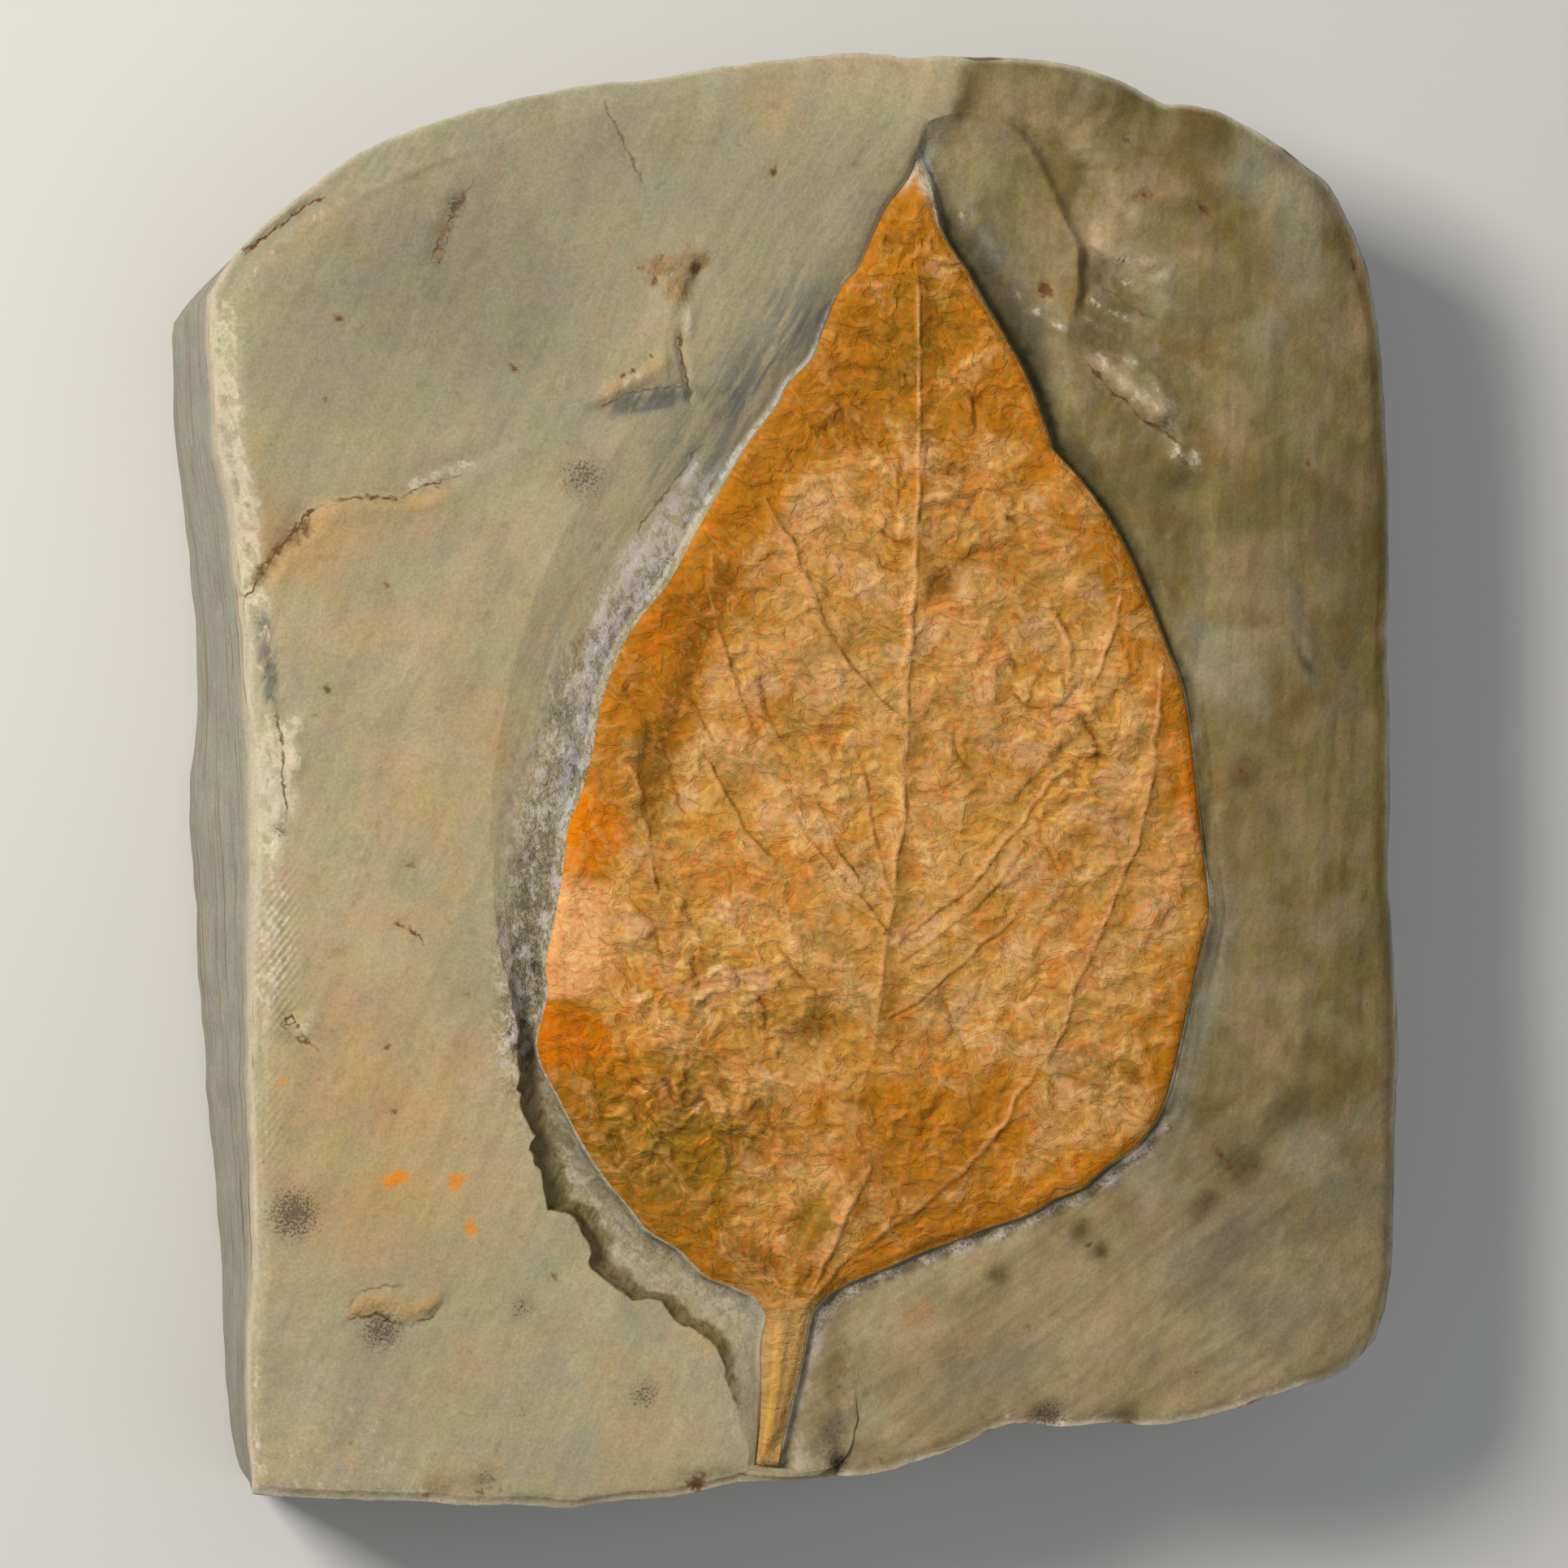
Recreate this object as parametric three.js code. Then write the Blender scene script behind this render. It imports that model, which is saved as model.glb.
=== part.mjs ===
// A fossil leaf on its slab of laminated mudstone, lying face up.
//
// The slab is one block of stone with a flat sawn back. Its face has been carved down around
// the leaf, so the leaf stands on a low pedestal with a groove along its margin. The leaf is a
// thin stained plate, blade and stalk in one, that follows the top of the pedestal.
//
// Millimetres. +X runs across the leaf, +Y from stalk to tip, +Z out of the face. The origin is
// the middle of the block's box, on the flat back.

import * as THREE from 'three';

// Heights above the back
const PLAIN_HEIGHT = 26.2; // the uncarved left side of the face, half way up
const PLAIN_RISE = 0.014; // how fast that side climbs towards the tip, mm per mm
const WORN_HEIGHT = 23.6; // the carved right side, where it leaves the leaf
const WORN_START = 20; // x where the carved side starts to fall
const WORN_SLOPE = 0.11; // its fall, mm per mm
const WORN_BEND = 38; // x where the fall steepens towards the edge
const WORN_CURVE = 0.01; // mm of extra fall per squared mm past the bend
const LEAF_HEIGHT = 24.9; // top of the leaf at x = 0
const LEAF_TILT = 0.012; // its fall towards +X, mm per mm

// Thicknesses, widths and gaps
const LEAF_THICKNESS = 0.8;
const SEAT_GAP = 0.3; // between the leaf and the pedestal it lies on
const PEDESTAL_FOOT = 0.6; // how far the pedestal's wall runs out from the margin
const MIDRIB_RISE = 0.3;
const MARGIN_DROP = 0.15; // the leaf's face rounds down this much at its margin
const BACK_CORNER = 3; // height over which the wall turns in to the flat back
const BACK_INSET = 0.8;

// Steps around the rim for each stretch from tip to stalk, and where the rings lie
const STRETCH_STEPS = [14, 24, 11, 6];
const FACE_FRACTIONS = [0.1, 0.22, 0.38, 0.56, 0.76];
const PEDESTAL_COLUMNS = 6;
const LEAF_COLUMNS = 5; // on each side of the midrib

// The leaf's margin, tip to stalk end, in four stretches on each side
const LEAF_RIGHT = [
  [[10.1, 54], [11.3, 51.8], [12.4, 47.3], [16.5, 40.6], [20.1, 34.2], [22.1, 28.6]],
  [[22.1, 28.6], [27.5, 21.9], [30, 16.8], [33.4, 8.3], [34.6, -0.2], [35.8, -11.3],
    [34.3, -18.1], [32.8, -24.8], [31, -29.7]],
  [[31, -29.7], [26.7, -33.5], [22.2, -36.2], [16.5, -38.6], [7.1, -42.2], [1, -45.2]],
  [[1, -45.2], [0.3, -49.3], [-0.8, -54], [-1.9, -59]],
];
const LEAF_LEFT = [
  [[10.1, 54], [7.4, 49.5], [2, 39.2], [-2.1, 32.3], [-8.4, 22.7]],
  [[-8.4, 22.7], [-14.6, 13.1], [-17.5, 6.2], [-20.2, -3.9], [-21.5, -12.4], [-22.9, -22.4],
    [-19.3, -30.6]],
  [[-19.3, -30.6], [-14.6, -37.1], [-8.2, -42.7], [-3, -45.4]],
  [[-3, -45.4], [-3.5, -51.7], [-4, -58.8]],
];
const MIDRIB = [
  [10.1, 54], [10, 43], [10, 25.5], [8.9, 4.4], [6.9, -15.7], [4.4, -30.6], [-0.3, -40.5],
  [-1, -45.3], [-3, -58.9],
];

// The edge of the slab's face, in the same four stretches, from the ridge above the tip
const FACE_RIGHT = [
  [[11.9, 62.4], [20.2, 62.1], [28.4, 60.4], [34.8, 58.6], [42, 55.2], [48.2, 49.4]],
  [[48.2, 49.4], [50.9, 44], [52, 32], [52.4, 12.4], [52.6, -6.5], [53.3, -21.7], [52.7, -41.7],
    [51, -48.8]],
  [[51, -48.8], [47.3, -51.9], [35.3, -55.3], [22.5, -55.9], [16.8, -56.1], [8.4, -59.4]],
  [[8.4, -59.4], [3.2, -60], [-2, -60.3]],
];
const FACE_LEFT = [
  [[11.9, 62.4], [4.5, 62.6], [-7.2, 61.2], [-20.5, 59.5], [-33.8, 55.7], [-45.7, 47.9],
    [-50.6, 42]],
  [[-50.6, 42], [-50.1, 28.5], [-47.7, 13.2], [-46.8, 0.8], [-47.2, -20.3], [-47.2, -41.4],
    [-47.2, -61.1]],
  [[-47.2, -61.1], [-39.5, -61.6], [-29.3, -62.1], [-20.2, -62.6]],
  [[-20.2, -62.6], [-10.7, -61.5], [-4.4, -60.4]],
];

// The widest line of the walls, just above the back, in the same four stretches
const WALL_RIGHT = [
  [[11.9, 61.4], [20.2, 61.2], [28, 59.6], [34, 57.7], [41.2, 54.3], [47.2, 48.6]],
  [[47.2, 48.6], [50.1, 43.6], [51.3, 31.8], [51.6, 12], [51.8, -6.5], [52.4, -21.7],
    [51.8, -41], [50.2, -48]],
  [[50.2, -48], [46.5, -51.1], [35, -54.3], [22.5, -54.9], [16.6, -55.2], [8.2, -58.5]],
  [[8.2, -58.5], [3.2, -59.2], [-2, -59.5]],
];
const WALL_LEFT = [
  [[11.9, 61.4], [4.5, 61.6], [-7.2, 60.3], [-20.3, 58.6], [-33.4, 54.9], [-45.5, 47.5],
    [-53, 40.5]],
  [[-53, 40.5], [-53.3, 36], [-52.1, 23.8], [-51.1, 9.1], [-51.6, -2.7], [-50.4, -22.1],
    [-49.1, -38.1], [-48.1, -55.2], [-46.4, -61.9]],
  [[-46.4, -61.9], [-39.3, -61.4], [-29.1, -61.7], [-20.1, -61.8]],
  [[-20.1, -61.8], [-10.6, -60.7], [-4.4, -59.6]],
];

// How far the carving reaches from the margin, its floor below the leaf's top, and how far the
// face's edge is broken down, at the start and end of each stretch
const CARVING = {
  right: { reach: [3, 2.5, 2.5, 3, 4], depth: [1.5, 2.3, 2.6, 2.2, 1.9], edge: [1, 1, 1.2, 1.2, 1] },
  left: { reach: [6, 12, 2, 4, 5], depth: [1.2, 1.4, 1.9, 1.4, 1.5], edge: [1, 1.6, 0.8, 0.8, 1] },
};
const EDGE_WIDTH = { right: 1.6, left: 2 };
const EDGE_SHARE = 0.4; // the broken edge never takes more than this share of the face's width

// Points at even steps along a smooth curve through the given ones
function along(points, steps) {
  const curve = new THREE.CatmullRomCurve3(points.map(([x, y]) => new THREE.Vector3(x, y, 0)));
  return curve.getSpacedPoints(steps);
}

// All four stretches of one side joined, from the tip end to the stalk end
function side(stretches) {
  const line = [new THREE.Vector3(...stretches[0][0], 0)];
  stretches.forEach((points, i) => line.push(...along(points, STRETCH_STEPS[i]).slice(1)));
  return line;
}

// A value that changes evenly along each stretch, listed at the same points as side() gives
function spread(values) {
  const list = [values[0]];
  STRETCH_STEPS.forEach((steps, i) => {
    for (let k = 1; k <= steps; k += 1) {
      list.push(THREE.MathUtils.lerp(values[i], values[i + 1], k / steps));
    }
  });
  return list;
}

// One loop, clockwise from the tip: down the right side, then back up the left
function loop(rightList, leftList) {
  return [...rightList, ...leftList.slice(1).reverse()];
}

function leafTop(x) {
  return LEAF_HEIGHT - LEAF_TILT * x;
}

function plainHeight(y) {
  return PLAIN_HEIGHT + PLAIN_RISE * y;
}

function wornHeight(x) {
  const bend = Math.max(0, x - WORN_BEND);
  return WORN_HEIGHT - WORN_SLOPE * Math.max(0, x - WORN_START) - WORN_CURVE * bend * bend;
}

// Keeps the vertices and triangles of one closed body
class Body {
  constructor() {
    this.vertices = [];
    this.triangles = [];
  }

  point(x, y, z) {
    this.vertices.push(x, y, z);
    return this.vertices.length / 3 - 1;
  }

  face(a, b, c) {
    if (a !== b && b !== c && c !== a) this.triangles.push(a, b, c);
  }

  // A strip between two equally long lists of points; b lies to the left of a's direction
  strip(a, b) {
    for (let i = 0; i + 1 < a.length; i += 1) {
      this.face(a[i], a[i + 1], b[i + 1]);
      this.face(a[i], b[i + 1], b[i]);
    }
  }

  // The same strip closed into a ring
  ring(a, b) {
    this.strip([...a, a[0]], [...b, b[0]]);
  }

  mesh(name, color, roughness) {
    const geometry = new THREE.BufferGeometry();
    geometry.setAttribute('position', new THREE.Float32BufferAttribute(this.vertices, 3));
    geometry.setIndex(this.triangles);
    geometry.computeVertexNormals();
    const material = new THREE.MeshStandardMaterial({ color, roughness, metalness: 0 });
    const mesh = new THREE.Mesh(geometry, material);
    mesh.name = name;
    return mesh;
  }
}

const marginRight = side(LEAF_RIGHT);
const marginLeft = side(LEAF_LEFT);
const rowCount = marginRight.length;

// Rows across the leaf, each running from the left margin to the right one. The margin's own
// points are shared with the loop around it, and place() adds the points in between. The first
// row closes on the tip, and the last one on the two corners of the stalk's end.
function rows(rim, columns, place) {
  const list = [];
  for (let k = 0; k < rowCount; k += 1) {
    const right = rim[k];
    const left = k === 0 ? right : rim[rim.length - k];
    const closed = k === 0 || k === rowCount - 1;
    const row = [left];
    for (let c = 1; c < columns; c += 1) {
      if (closed) row.push(2 * c < columns ? left : right);
      else row.push(place(k, c / columns));
    }
    row.push(right);
    list.push(row);
  }
  return list;
}

// The slab: pedestal top, carved face, broken edge, walls and flat back
function buildSlab() {
  const body = new Body();
  const margin = loop(marginRight, marginLeft);
  const edge = loop(side(FACE_RIGHT), side(FACE_LEFT));
  const wall = loop(side(WALL_RIGHT), side(WALL_LEFT));
  const reach = loop(spread(CARVING.right.reach), spread(CARVING.left.reach));
  const depth = loop(spread(CARVING.right.depth), spread(CARVING.left.depth));
  const drop = loop(spread(CARVING.right.edge), spread(CARVING.left.edge));
  const onRight = margin.map((_, i) => i > 0 && i < rowCount);
  const seat = (x) => leafTop(x) - LEAF_THICKNESS - SEAT_GAP;

  const faceHeight = (i, x, y, out) => {
    const open = onRight[i] ? wornHeight(x) : plainHeight(y);
    const floor = leafTop(margin[i].x) - depth[i];
    return THREE.MathUtils.lerp(floor, open, THREE.MathUtils.smoothstep(out, PEDESTAL_FOOT, reach[i]));
  };
  const faceRing = (outAt) => margin.map((start, i) => {
    const whole = start.distanceTo(edge[i]);
    const out = outAt(i, whole);
    const at = start.clone().lerp(edge[i], out / whole);
    return body.point(at.x, at.y, faceHeight(i, at.x, at.y, out));
  });

  const rim = margin.map((p) => body.point(p.x, p.y, seat(p.x)));
  const pedestal = rows(rim, PEDESTAL_COLUMNS, (k, t) => {
    const at = marginLeft[k].clone().lerp(marginRight[k], t);
    return body.point(at.x, at.y, seat(at.x));
  });
  pedestal.slice(1).forEach((row, k) => body.strip(row, pedestal[k]));

  const rings = [rim, faceRing(() => PEDESTAL_FOOT)];
  const edgeWidth = (i) => Math.min(onRight[i] ? EDGE_WIDTH.right : EDGE_WIDTH.left,
    EDGE_SHARE * margin[i].distanceTo(edge[i]));
  FACE_FRACTIONS.forEach((part) => {
    rings.push(faceRing((i, whole) => (
      PEDESTAL_FOOT + part * (whole - edgeWidth(i) - PEDESTAL_FOOT))));
  });
  rings.push(faceRing((i, whole) => whole - edgeWidth(i)));

  const edgeHeight = edge.map((p, i) => {
    const open = onRight[i] ? wornHeight(p.x) : plainHeight(p.y);
    return open - drop[i];
  });
  rings.push(edge.map((p, i) => body.point(p.x, p.y, edgeHeight[i])));
  rings.push(edge.map((p, i) => {
    const at = p.clone().lerp(wall[i], 0.5);
    return body.point(at.x, at.y, (edgeHeight[i] + BACK_CORNER) / 2);
  }));
  rings.push(wall.map((p) => body.point(p.x, p.y, BACK_CORNER)));
  const back = wall.map((p) => p.clone().setLength(p.length() - BACK_INSET));
  const backRing = back.map((p) => body.point(p.x, p.y, 0));
  rings.push(backRing);
  for (let i = 0; i + 1 < rings.length; i += 1) body.ring(rings[i], rings[i + 1]);

  const outline = back.map((p) => new THREE.Vector2(p.x, p.y));
  THREE.ShapeUtils.triangulateShape(outline, []).forEach(([a, b, c]) => {
    const across = outline[b].clone().sub(outline[a]);
    const turn = across.cross(outline[c].clone().sub(outline[a]));
    body.face(backRing[a], backRing[turn > 0 ? c : b], backRing[turn > 0 ? b : c]);
  });
  return body.mesh('matrix_slab', '#9c9275', 0.9);
}

// Where the midrib crosses a given height up the leaf
function midribX(y) {
  const after = MIDRIB.findIndex((p) => p[1] <= y);
  if (after < 1) return MIDRIB[after === 0 ? 0 : MIDRIB.length - 1][0];
  const [x0, y0] = MIDRIB[after - 1];
  const [x1, y1] = MIDRIB[after];
  return THREE.MathUtils.mapLinear(y, y0, y1, x0, x1);
}

// The leaf: a plate whose face rises to the midrib and rounds down at the margin
function buildLeaf() {
  const body = new Body();
  const margin = loop(marginRight, marginLeft);
  const columns = 2 * LEAF_COLUMNS;

  const place = (height) => (k, t) => {
    const left = marginLeft[k];
    const right = marginRight[k];
    const y = (left.y + right.y) / 2;
    const middle = new THREE.Vector3(midribX(y), y, 0);
    const at = t < 0.5 ? left.clone().lerp(middle, 2 * t) : middle.clone().lerp(right, 2 * t - 1);
    return body.point(at.x, at.y, height(at, t));
  };
  const face = (at, t) => leafTop(at.x) + (t === 0.5 ? MIDRIB_RISE : 0);
  const under = (at) => leafTop(at.x) - LEAF_THICKNESS;

  const topRim = margin.map((p) => body.point(p.x, p.y, leafTop(p.x) - MARGIN_DROP));
  const underRim = margin.map((p) => body.point(p.x, p.y, under(p)));
  const topRows = rows(topRim, columns, place(face));
  const underRows = rows(underRim, columns, place(under));
  topRows.slice(1).forEach((row, k) => body.strip(row, topRows[k]));
  underRows.slice(1).forEach((row, k) => body.strip(underRows[k], row));
  body.ring(topRim, underRim);
  return body.mesh('leaf', '#b98a4e', 0.7);
}

const fossil = new THREE.Group();
fossil.add(buildSlab(), buildLeaf());

export default fossil;
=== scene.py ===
import math
from functools import reduce

import bpy
import numpy as np
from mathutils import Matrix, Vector


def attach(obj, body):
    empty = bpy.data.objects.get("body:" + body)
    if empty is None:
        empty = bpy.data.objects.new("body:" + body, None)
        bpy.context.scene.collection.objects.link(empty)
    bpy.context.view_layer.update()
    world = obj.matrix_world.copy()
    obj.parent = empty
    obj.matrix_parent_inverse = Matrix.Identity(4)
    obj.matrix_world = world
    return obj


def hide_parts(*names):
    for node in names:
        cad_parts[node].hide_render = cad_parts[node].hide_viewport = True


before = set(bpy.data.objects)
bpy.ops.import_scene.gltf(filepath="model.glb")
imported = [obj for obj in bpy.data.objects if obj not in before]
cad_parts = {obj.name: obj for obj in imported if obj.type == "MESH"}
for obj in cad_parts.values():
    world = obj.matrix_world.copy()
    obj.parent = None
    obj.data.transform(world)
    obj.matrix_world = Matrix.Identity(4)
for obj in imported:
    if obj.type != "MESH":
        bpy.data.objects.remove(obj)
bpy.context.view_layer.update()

# ---------------------------------------------------------------------------------------------
# The camera. It looks down on the face of the fossil through a long lens, from a little to the
# left, so that the block's left wall just shows. Lengths in this file are millimetres, and MM
# turns them into metres where a mesh or a light is made.
MM = 0.001
VIEW_TILT = math.radians(6.5)
VIEW_DISTANCE = 750
VIEW_WIDTH = 135
VIEW_CENTRE = Vector((-1.5, -0.3, 25))
SENSOR_WIDTH = 36

camera_data = bpy.data.cameras.new("camera")
camera_data.sensor_width = SENSOR_WIDTH
camera_data.lens = SENSOR_WIDTH * VIEW_DISTANCE / VIEW_WIDTH
camera = bpy.data.objects.new("camera", camera_data)
towards_camera = Vector((-math.sin(VIEW_TILT), 0, math.cos(VIEW_TILT)))
camera.location = (VIEW_CENTRE + VIEW_DISTANCE * towards_camera) * MM
camera.rotation_euler = (0, -VIEW_TILT, 0)
bpy.context.collection.objects.link(camera)
bpy.context.scene.camera = camera

# ---------------------------------------------------------------------------------------------
# The floor and the studio light. The floor is a plain pale sheet. One soft lamp stands at the
# upper left and rakes over the carving, and a broad weak one opens the shadows from above.
FLOOR_SIDE = 6000
FLOOR_DROP = 0.05
FLOOR_COLOUR = (205, 203, 198)
FLOOR_ROUGHNESS = 0.9
KEY_PLACE = (-330, 190, 400)
KEY_SIDE = 170
KEY_WATTS = 3.0
KEY_COLOUR = (255, 252, 246)
FILL_PLACE = (260, -120, 620)
FILL_SIDE = 700
FILL_WATTS = 1.1
FILL_COLOUR = (246, 250, 255)
SKY_COLOUR = (214, 219, 226)
SKY_STRENGTH = 0.27


def light_colour(red, green, blue):
    """A colour given as it looks on a screen, 0 to 255, as the light values that nodes work in."""
    share = [channel / 255 for channel in (red, green, blue)]
    return tuple(s / 12.92 if s <= 0.04045 else ((s + 0.055) / 1.055) ** 2.4 for s in share)


def add_lamp(name, place, side, watts, colour):
    """A square soft lamp that faces the middle of the fossil."""
    lamp_data = bpy.data.lights.new(name, "AREA")
    lamp_data.size = side * MM
    lamp_data.energy = watts
    lamp_data.color = light_colour(*colour)
    lamp = bpy.data.objects.new(name, lamp_data)
    lamp.location = Vector(place) * MM
    lamp.rotation_euler = (Vector(place) - VIEW_CENTRE).to_track_quat("Z", "Y").to_euler()
    bpy.context.collection.objects.link(lamp)


floor_mesh = bpy.data.meshes.new("floor")
half = FLOOR_SIDE * MM / 2
floor_corners = [(-half, -half), (half, -half), (half, half), (-half, half)]
floor_mesh.from_pydata([(x, y, -FLOOR_DROP * MM) for x, y in floor_corners], [], [(0, 1, 2, 3)])
floor = bpy.data.objects.new("floor", floor_mesh)
bpy.context.collection.objects.link(floor)
floor_paper = bpy.data.materials.new("floor_paper")
floor_paper.use_nodes = True
floor_shader = floor_paper.node_tree.nodes["Principled BSDF"]
floor_shader.inputs["Base Color"].default_value = (*light_colour(*FLOOR_COLOUR), 1)
floor_shader.inputs["Roughness"].default_value = FLOOR_ROUGHNESS
floor_mesh.materials.append(floor_paper)

add_lamp("key_lamp", KEY_PLACE, KEY_SIDE, KEY_WATTS, KEY_COLOUR)
add_lamp("fill_lamp", FILL_PLACE, FILL_SIDE, FILL_WATTS, FILL_COLOUR)
sky = bpy.data.worlds.new("sky")
sky.use_nodes = True
sky.node_tree.nodes["Background"].inputs["Color"].default_value = (*light_colour(*SKY_COLOUR), 1)
sky.node_tree.nodes["Background"].inputs["Strength"].default_value = SKY_STRENGTH
bpy.context.scene.world = sky
bpy.context.scene.view_settings.view_transform = "Standard"

# ---------------------------------------------------------------------------------------------
# The block of mudstone that holds the fossil: a split slab with its old smooth face kept on the
# left, worn away on the right, broken at the edges and sawn flat behind. A groove was carved
# around the leaf.

# Its lines are drawn from above in four stretches down the right side, from the leaf's tip to
# the end of the stalk, and four down the left: where the leaf ends, where the carving ends,
# where the face ends, and where the walls stand widest.
STRETCH_STEPS = (120, 210, 80, 24)

LEAF_RIGHT = (
    ((10.1, 54.1), (11.3, 51.8), (12.4, 47.3), (14.4, 44.2), (16.5, 40.6), (18, 38.2),
     (20.1, 34.2), (22.1, 28.6)),
    ((22.1, 28.6), (24.8, 25.7), (27.5, 21.9), (30, 16.8), (32.1, 11.6), (33.4, 8.3), (34.1, 4.4),
     (34.6, -0.2), (35.1, -4.7), (35.8, -11.3), (35.1, -14.7), (34.3, -18.1), (32.8, -24.8),
     (32.1, -27.3), (31, -29.7)),
    ((31, -29.7), (29.4, -31.6), (26.7, -33.5), (24.5, -35.3), (22.2, -36.2), (19.9, -37.5),
     (16.5, -38.6), (10.9, -40.6), (7.1, -42.2), (4.2, -43.3), (1.9, -44.7), (0.9, -46)),
    ((0.9, -46), (0.3, -49.3), (-0.2, -51.7), (-0.8, -54), (-1.5, -57.1), (-1.9, -59)),
)
LEAF_LEFT = (
    ((10.1, 54.1), (9.2, 51.8), (7.4, 49.5), (6.2, 47), (4.9, 44.1), (3.7, 42.9), (2, 39.2),
     (0.9, 36.3), (-1.2, 34.1), (-2.1, 32.3), (-4.6, 29), (-8.4, 22.7)),
    ((-8.4, 22.7), (-11.5, 17.1), (-14.6, 13.1), (-16.2, 10), (-17.5, 6.2), (-18.2, 2.1),
     (-19.3, -1.7), (-20.2, -3.9), (-20.7, -7.8), (-21.5, -12.4), (-22.2, -15.7), (-22, -18.3),
     (-22.9, -22.4), (-22.4, -24.6), (-21.1, -27.1), (-19.3, -30.6)),
    ((-19.3, -30.6), (-17.3, -33.8), (-14.6, -37.1), (-13.3, -38.7), (-10.6, -40.4),
     (-8.2, -42.7), (-5.9, -43.6), (-3.9, -44.7), (-3, -46.2)),
    ((-3, -46.2), (-3.5, -48.5), (-3.5, -51.7), (-3.6, -54.8), (-4, -58.9)),
)
CARVING_RIGHT = (
    ((10.9, 56.8), (13.6, 57.6), (16.4, 57.2), (18.6, 55.6), (20.8, 52.4), (22.6, 49), (24, 46),
     (24.1, 42.4), (23.2, 38.6), (23.6, 34.5), (25, 29.7)),
    ((25, 29.7), (26.7, 26.6), (29.1, 22.7), (31.5, 17.4), (33.6, 12), (34.9, 8.6), (35.7, 4.4),
     (36.4, -4.7), (37.2, -11.4), (36.6, -15), (35.7, -18.6), (34.4, -25.2), (33.2, -30.6)),
    ((33.2, -30.6), (30.6, -33.6), (26, -36.8), (19.5, -40), (12, -42.8), (7, -45.8), (5.2, -48.4)),
    ((5.2, -48.4), (4.8, -52), (4.8, -55.4), (3.4, -58.9), (0, -59.6)),
)
CARVING_LEFT = (
    ((10.9, 56.8), (6.5, 59), (1, 58.6), (-3.5, 53.1), (-7, 48.4), (-9.6, 44.6), (-11, 41.4),
     (-11.9, 37.7), (-11.9, 33.2), (-15.5, 29.4)),
    ((-15.5, 29.4), (-21, 20.5), (-24.6, 11), (-26.4, 2), (-26.9, -8), (-26, -16),
     (-24.6, -21.5), (-24.2, -25.5), (-23.9, -28.4), (-23.1, -31.4)),
    ((-23.1, -31.4), (-22.4, -34.8), (-20.4, -37.7), (-18.1, -40.9), (-15.4, -43.4),
     (-12.9, -44.8), (-10.3, -46.6), (-7.6, -48.2)),
    ((-7.6, -48.2), (-6.2, -50.8), (-5.3, -54), (-4.9, -57), (-4.6, -59.4)),
)
FACE_RIGHT = (
    ((11.9, 62.3), (14.6, 62.4), (20.2, 62.1), (25, 61.4), (28.4, 60.4), (31.2, 58.9),
     (32.3, 58.6), (34.8, 58.6), (37.7, 57.7), (42, 55.2), (44.5, 53.5), (46.8, 51.6),
     (48.2, 49.4)),
    ((48.2, 49.4), (49.4, 47), (50.6, 43.6), (51.5, 38.1), (52, 32), (52.5, 21.5), (52.3, 12.4),
     (52.5, -0.2), (52.4, -6.5), (52.9, -16), (53.2, -21.7), (53, -31.2), (52.7, -41.7),
     (52, -46.2), (51, -48.8)),
    ((51, -48.8), (49.1, -50.6), (47.3, -51.9), (41.8, -53.4), (38.5, -54.4), (35.3, -55.3),
     (32, -55.8), (29.8, -55.9), (27, -55.7), (22.5, -55.9), (19, -55.5), (16.8, -56.1),
     (14.2, -57.4), (11.6, -58.5), (8.4, -59.4)),
    ((8.4, -59.4), (5.6, -59.9), (3.2, -60), (0.5, -60.2), (-2, -60.3)),
)
FACE_LEFT = (
    ((11.9, 62.3), (9.7, 62.2), (4.5, 62.6), (-2.2, 61.9), (-7.2, 61.2), (-14.1, 60.1),
     (-20.5, 59.5), (-27.6, 57.7), (-33.8, 55.7), (-39.5, 52.8), (-45.7, 47.9), (-49.4, 43.8),
     (-50.7, 41.6)),
    ((-50.7, 41.6), (-50.5, 36), (-50.1, 28.5), (-48.8, 23.2), (-48.3, 17.6), (-47.7, 13.2),
     (-47.5, 7), (-46.8, 0.8), (-46.7, -6), (-47, -13.7), (-47.2, -20.3), (-47.2, -31.3),
     (-47, -41.4), (-47.6, -50.3), (-47.5, -54.7), (-47.2, -61.1)),
    ((-47.2, -61.1), (-45, -61.3), (-39.5, -61.6), (-33, -61.8), (-29.3, -62.1), (-24, -62.3),
     (-20.2, -62.6)),
    ((-20.2, -62.6), (-16.5, -61.9), (-10.7, -61.5), (-7.1, -60.8), (-4.4, -60.4)),
)
WALL_RIGHT = (
    ((11.9, 61.4), (20.2, 61.2), (28, 59.6), (34, 57.7), (41.2, 54.3), (47.2, 48.6)),
    ((47.2, 48.6), (50.1, 43.6), (51.3, 31.8), (51.6, 12), (51.8, -6.5), (52.4, -21.7),
     (51.8, -41), (50.2, -48)),
    ((50.2, -48), (46.5, -51.1), (35, -54.3), (22.5, -54.9), (16.6, -55.2), (8.2, -58.5)),
    ((8.2, -58.5), (3.2, -59.2), (-2, -59.5)),
)
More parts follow.
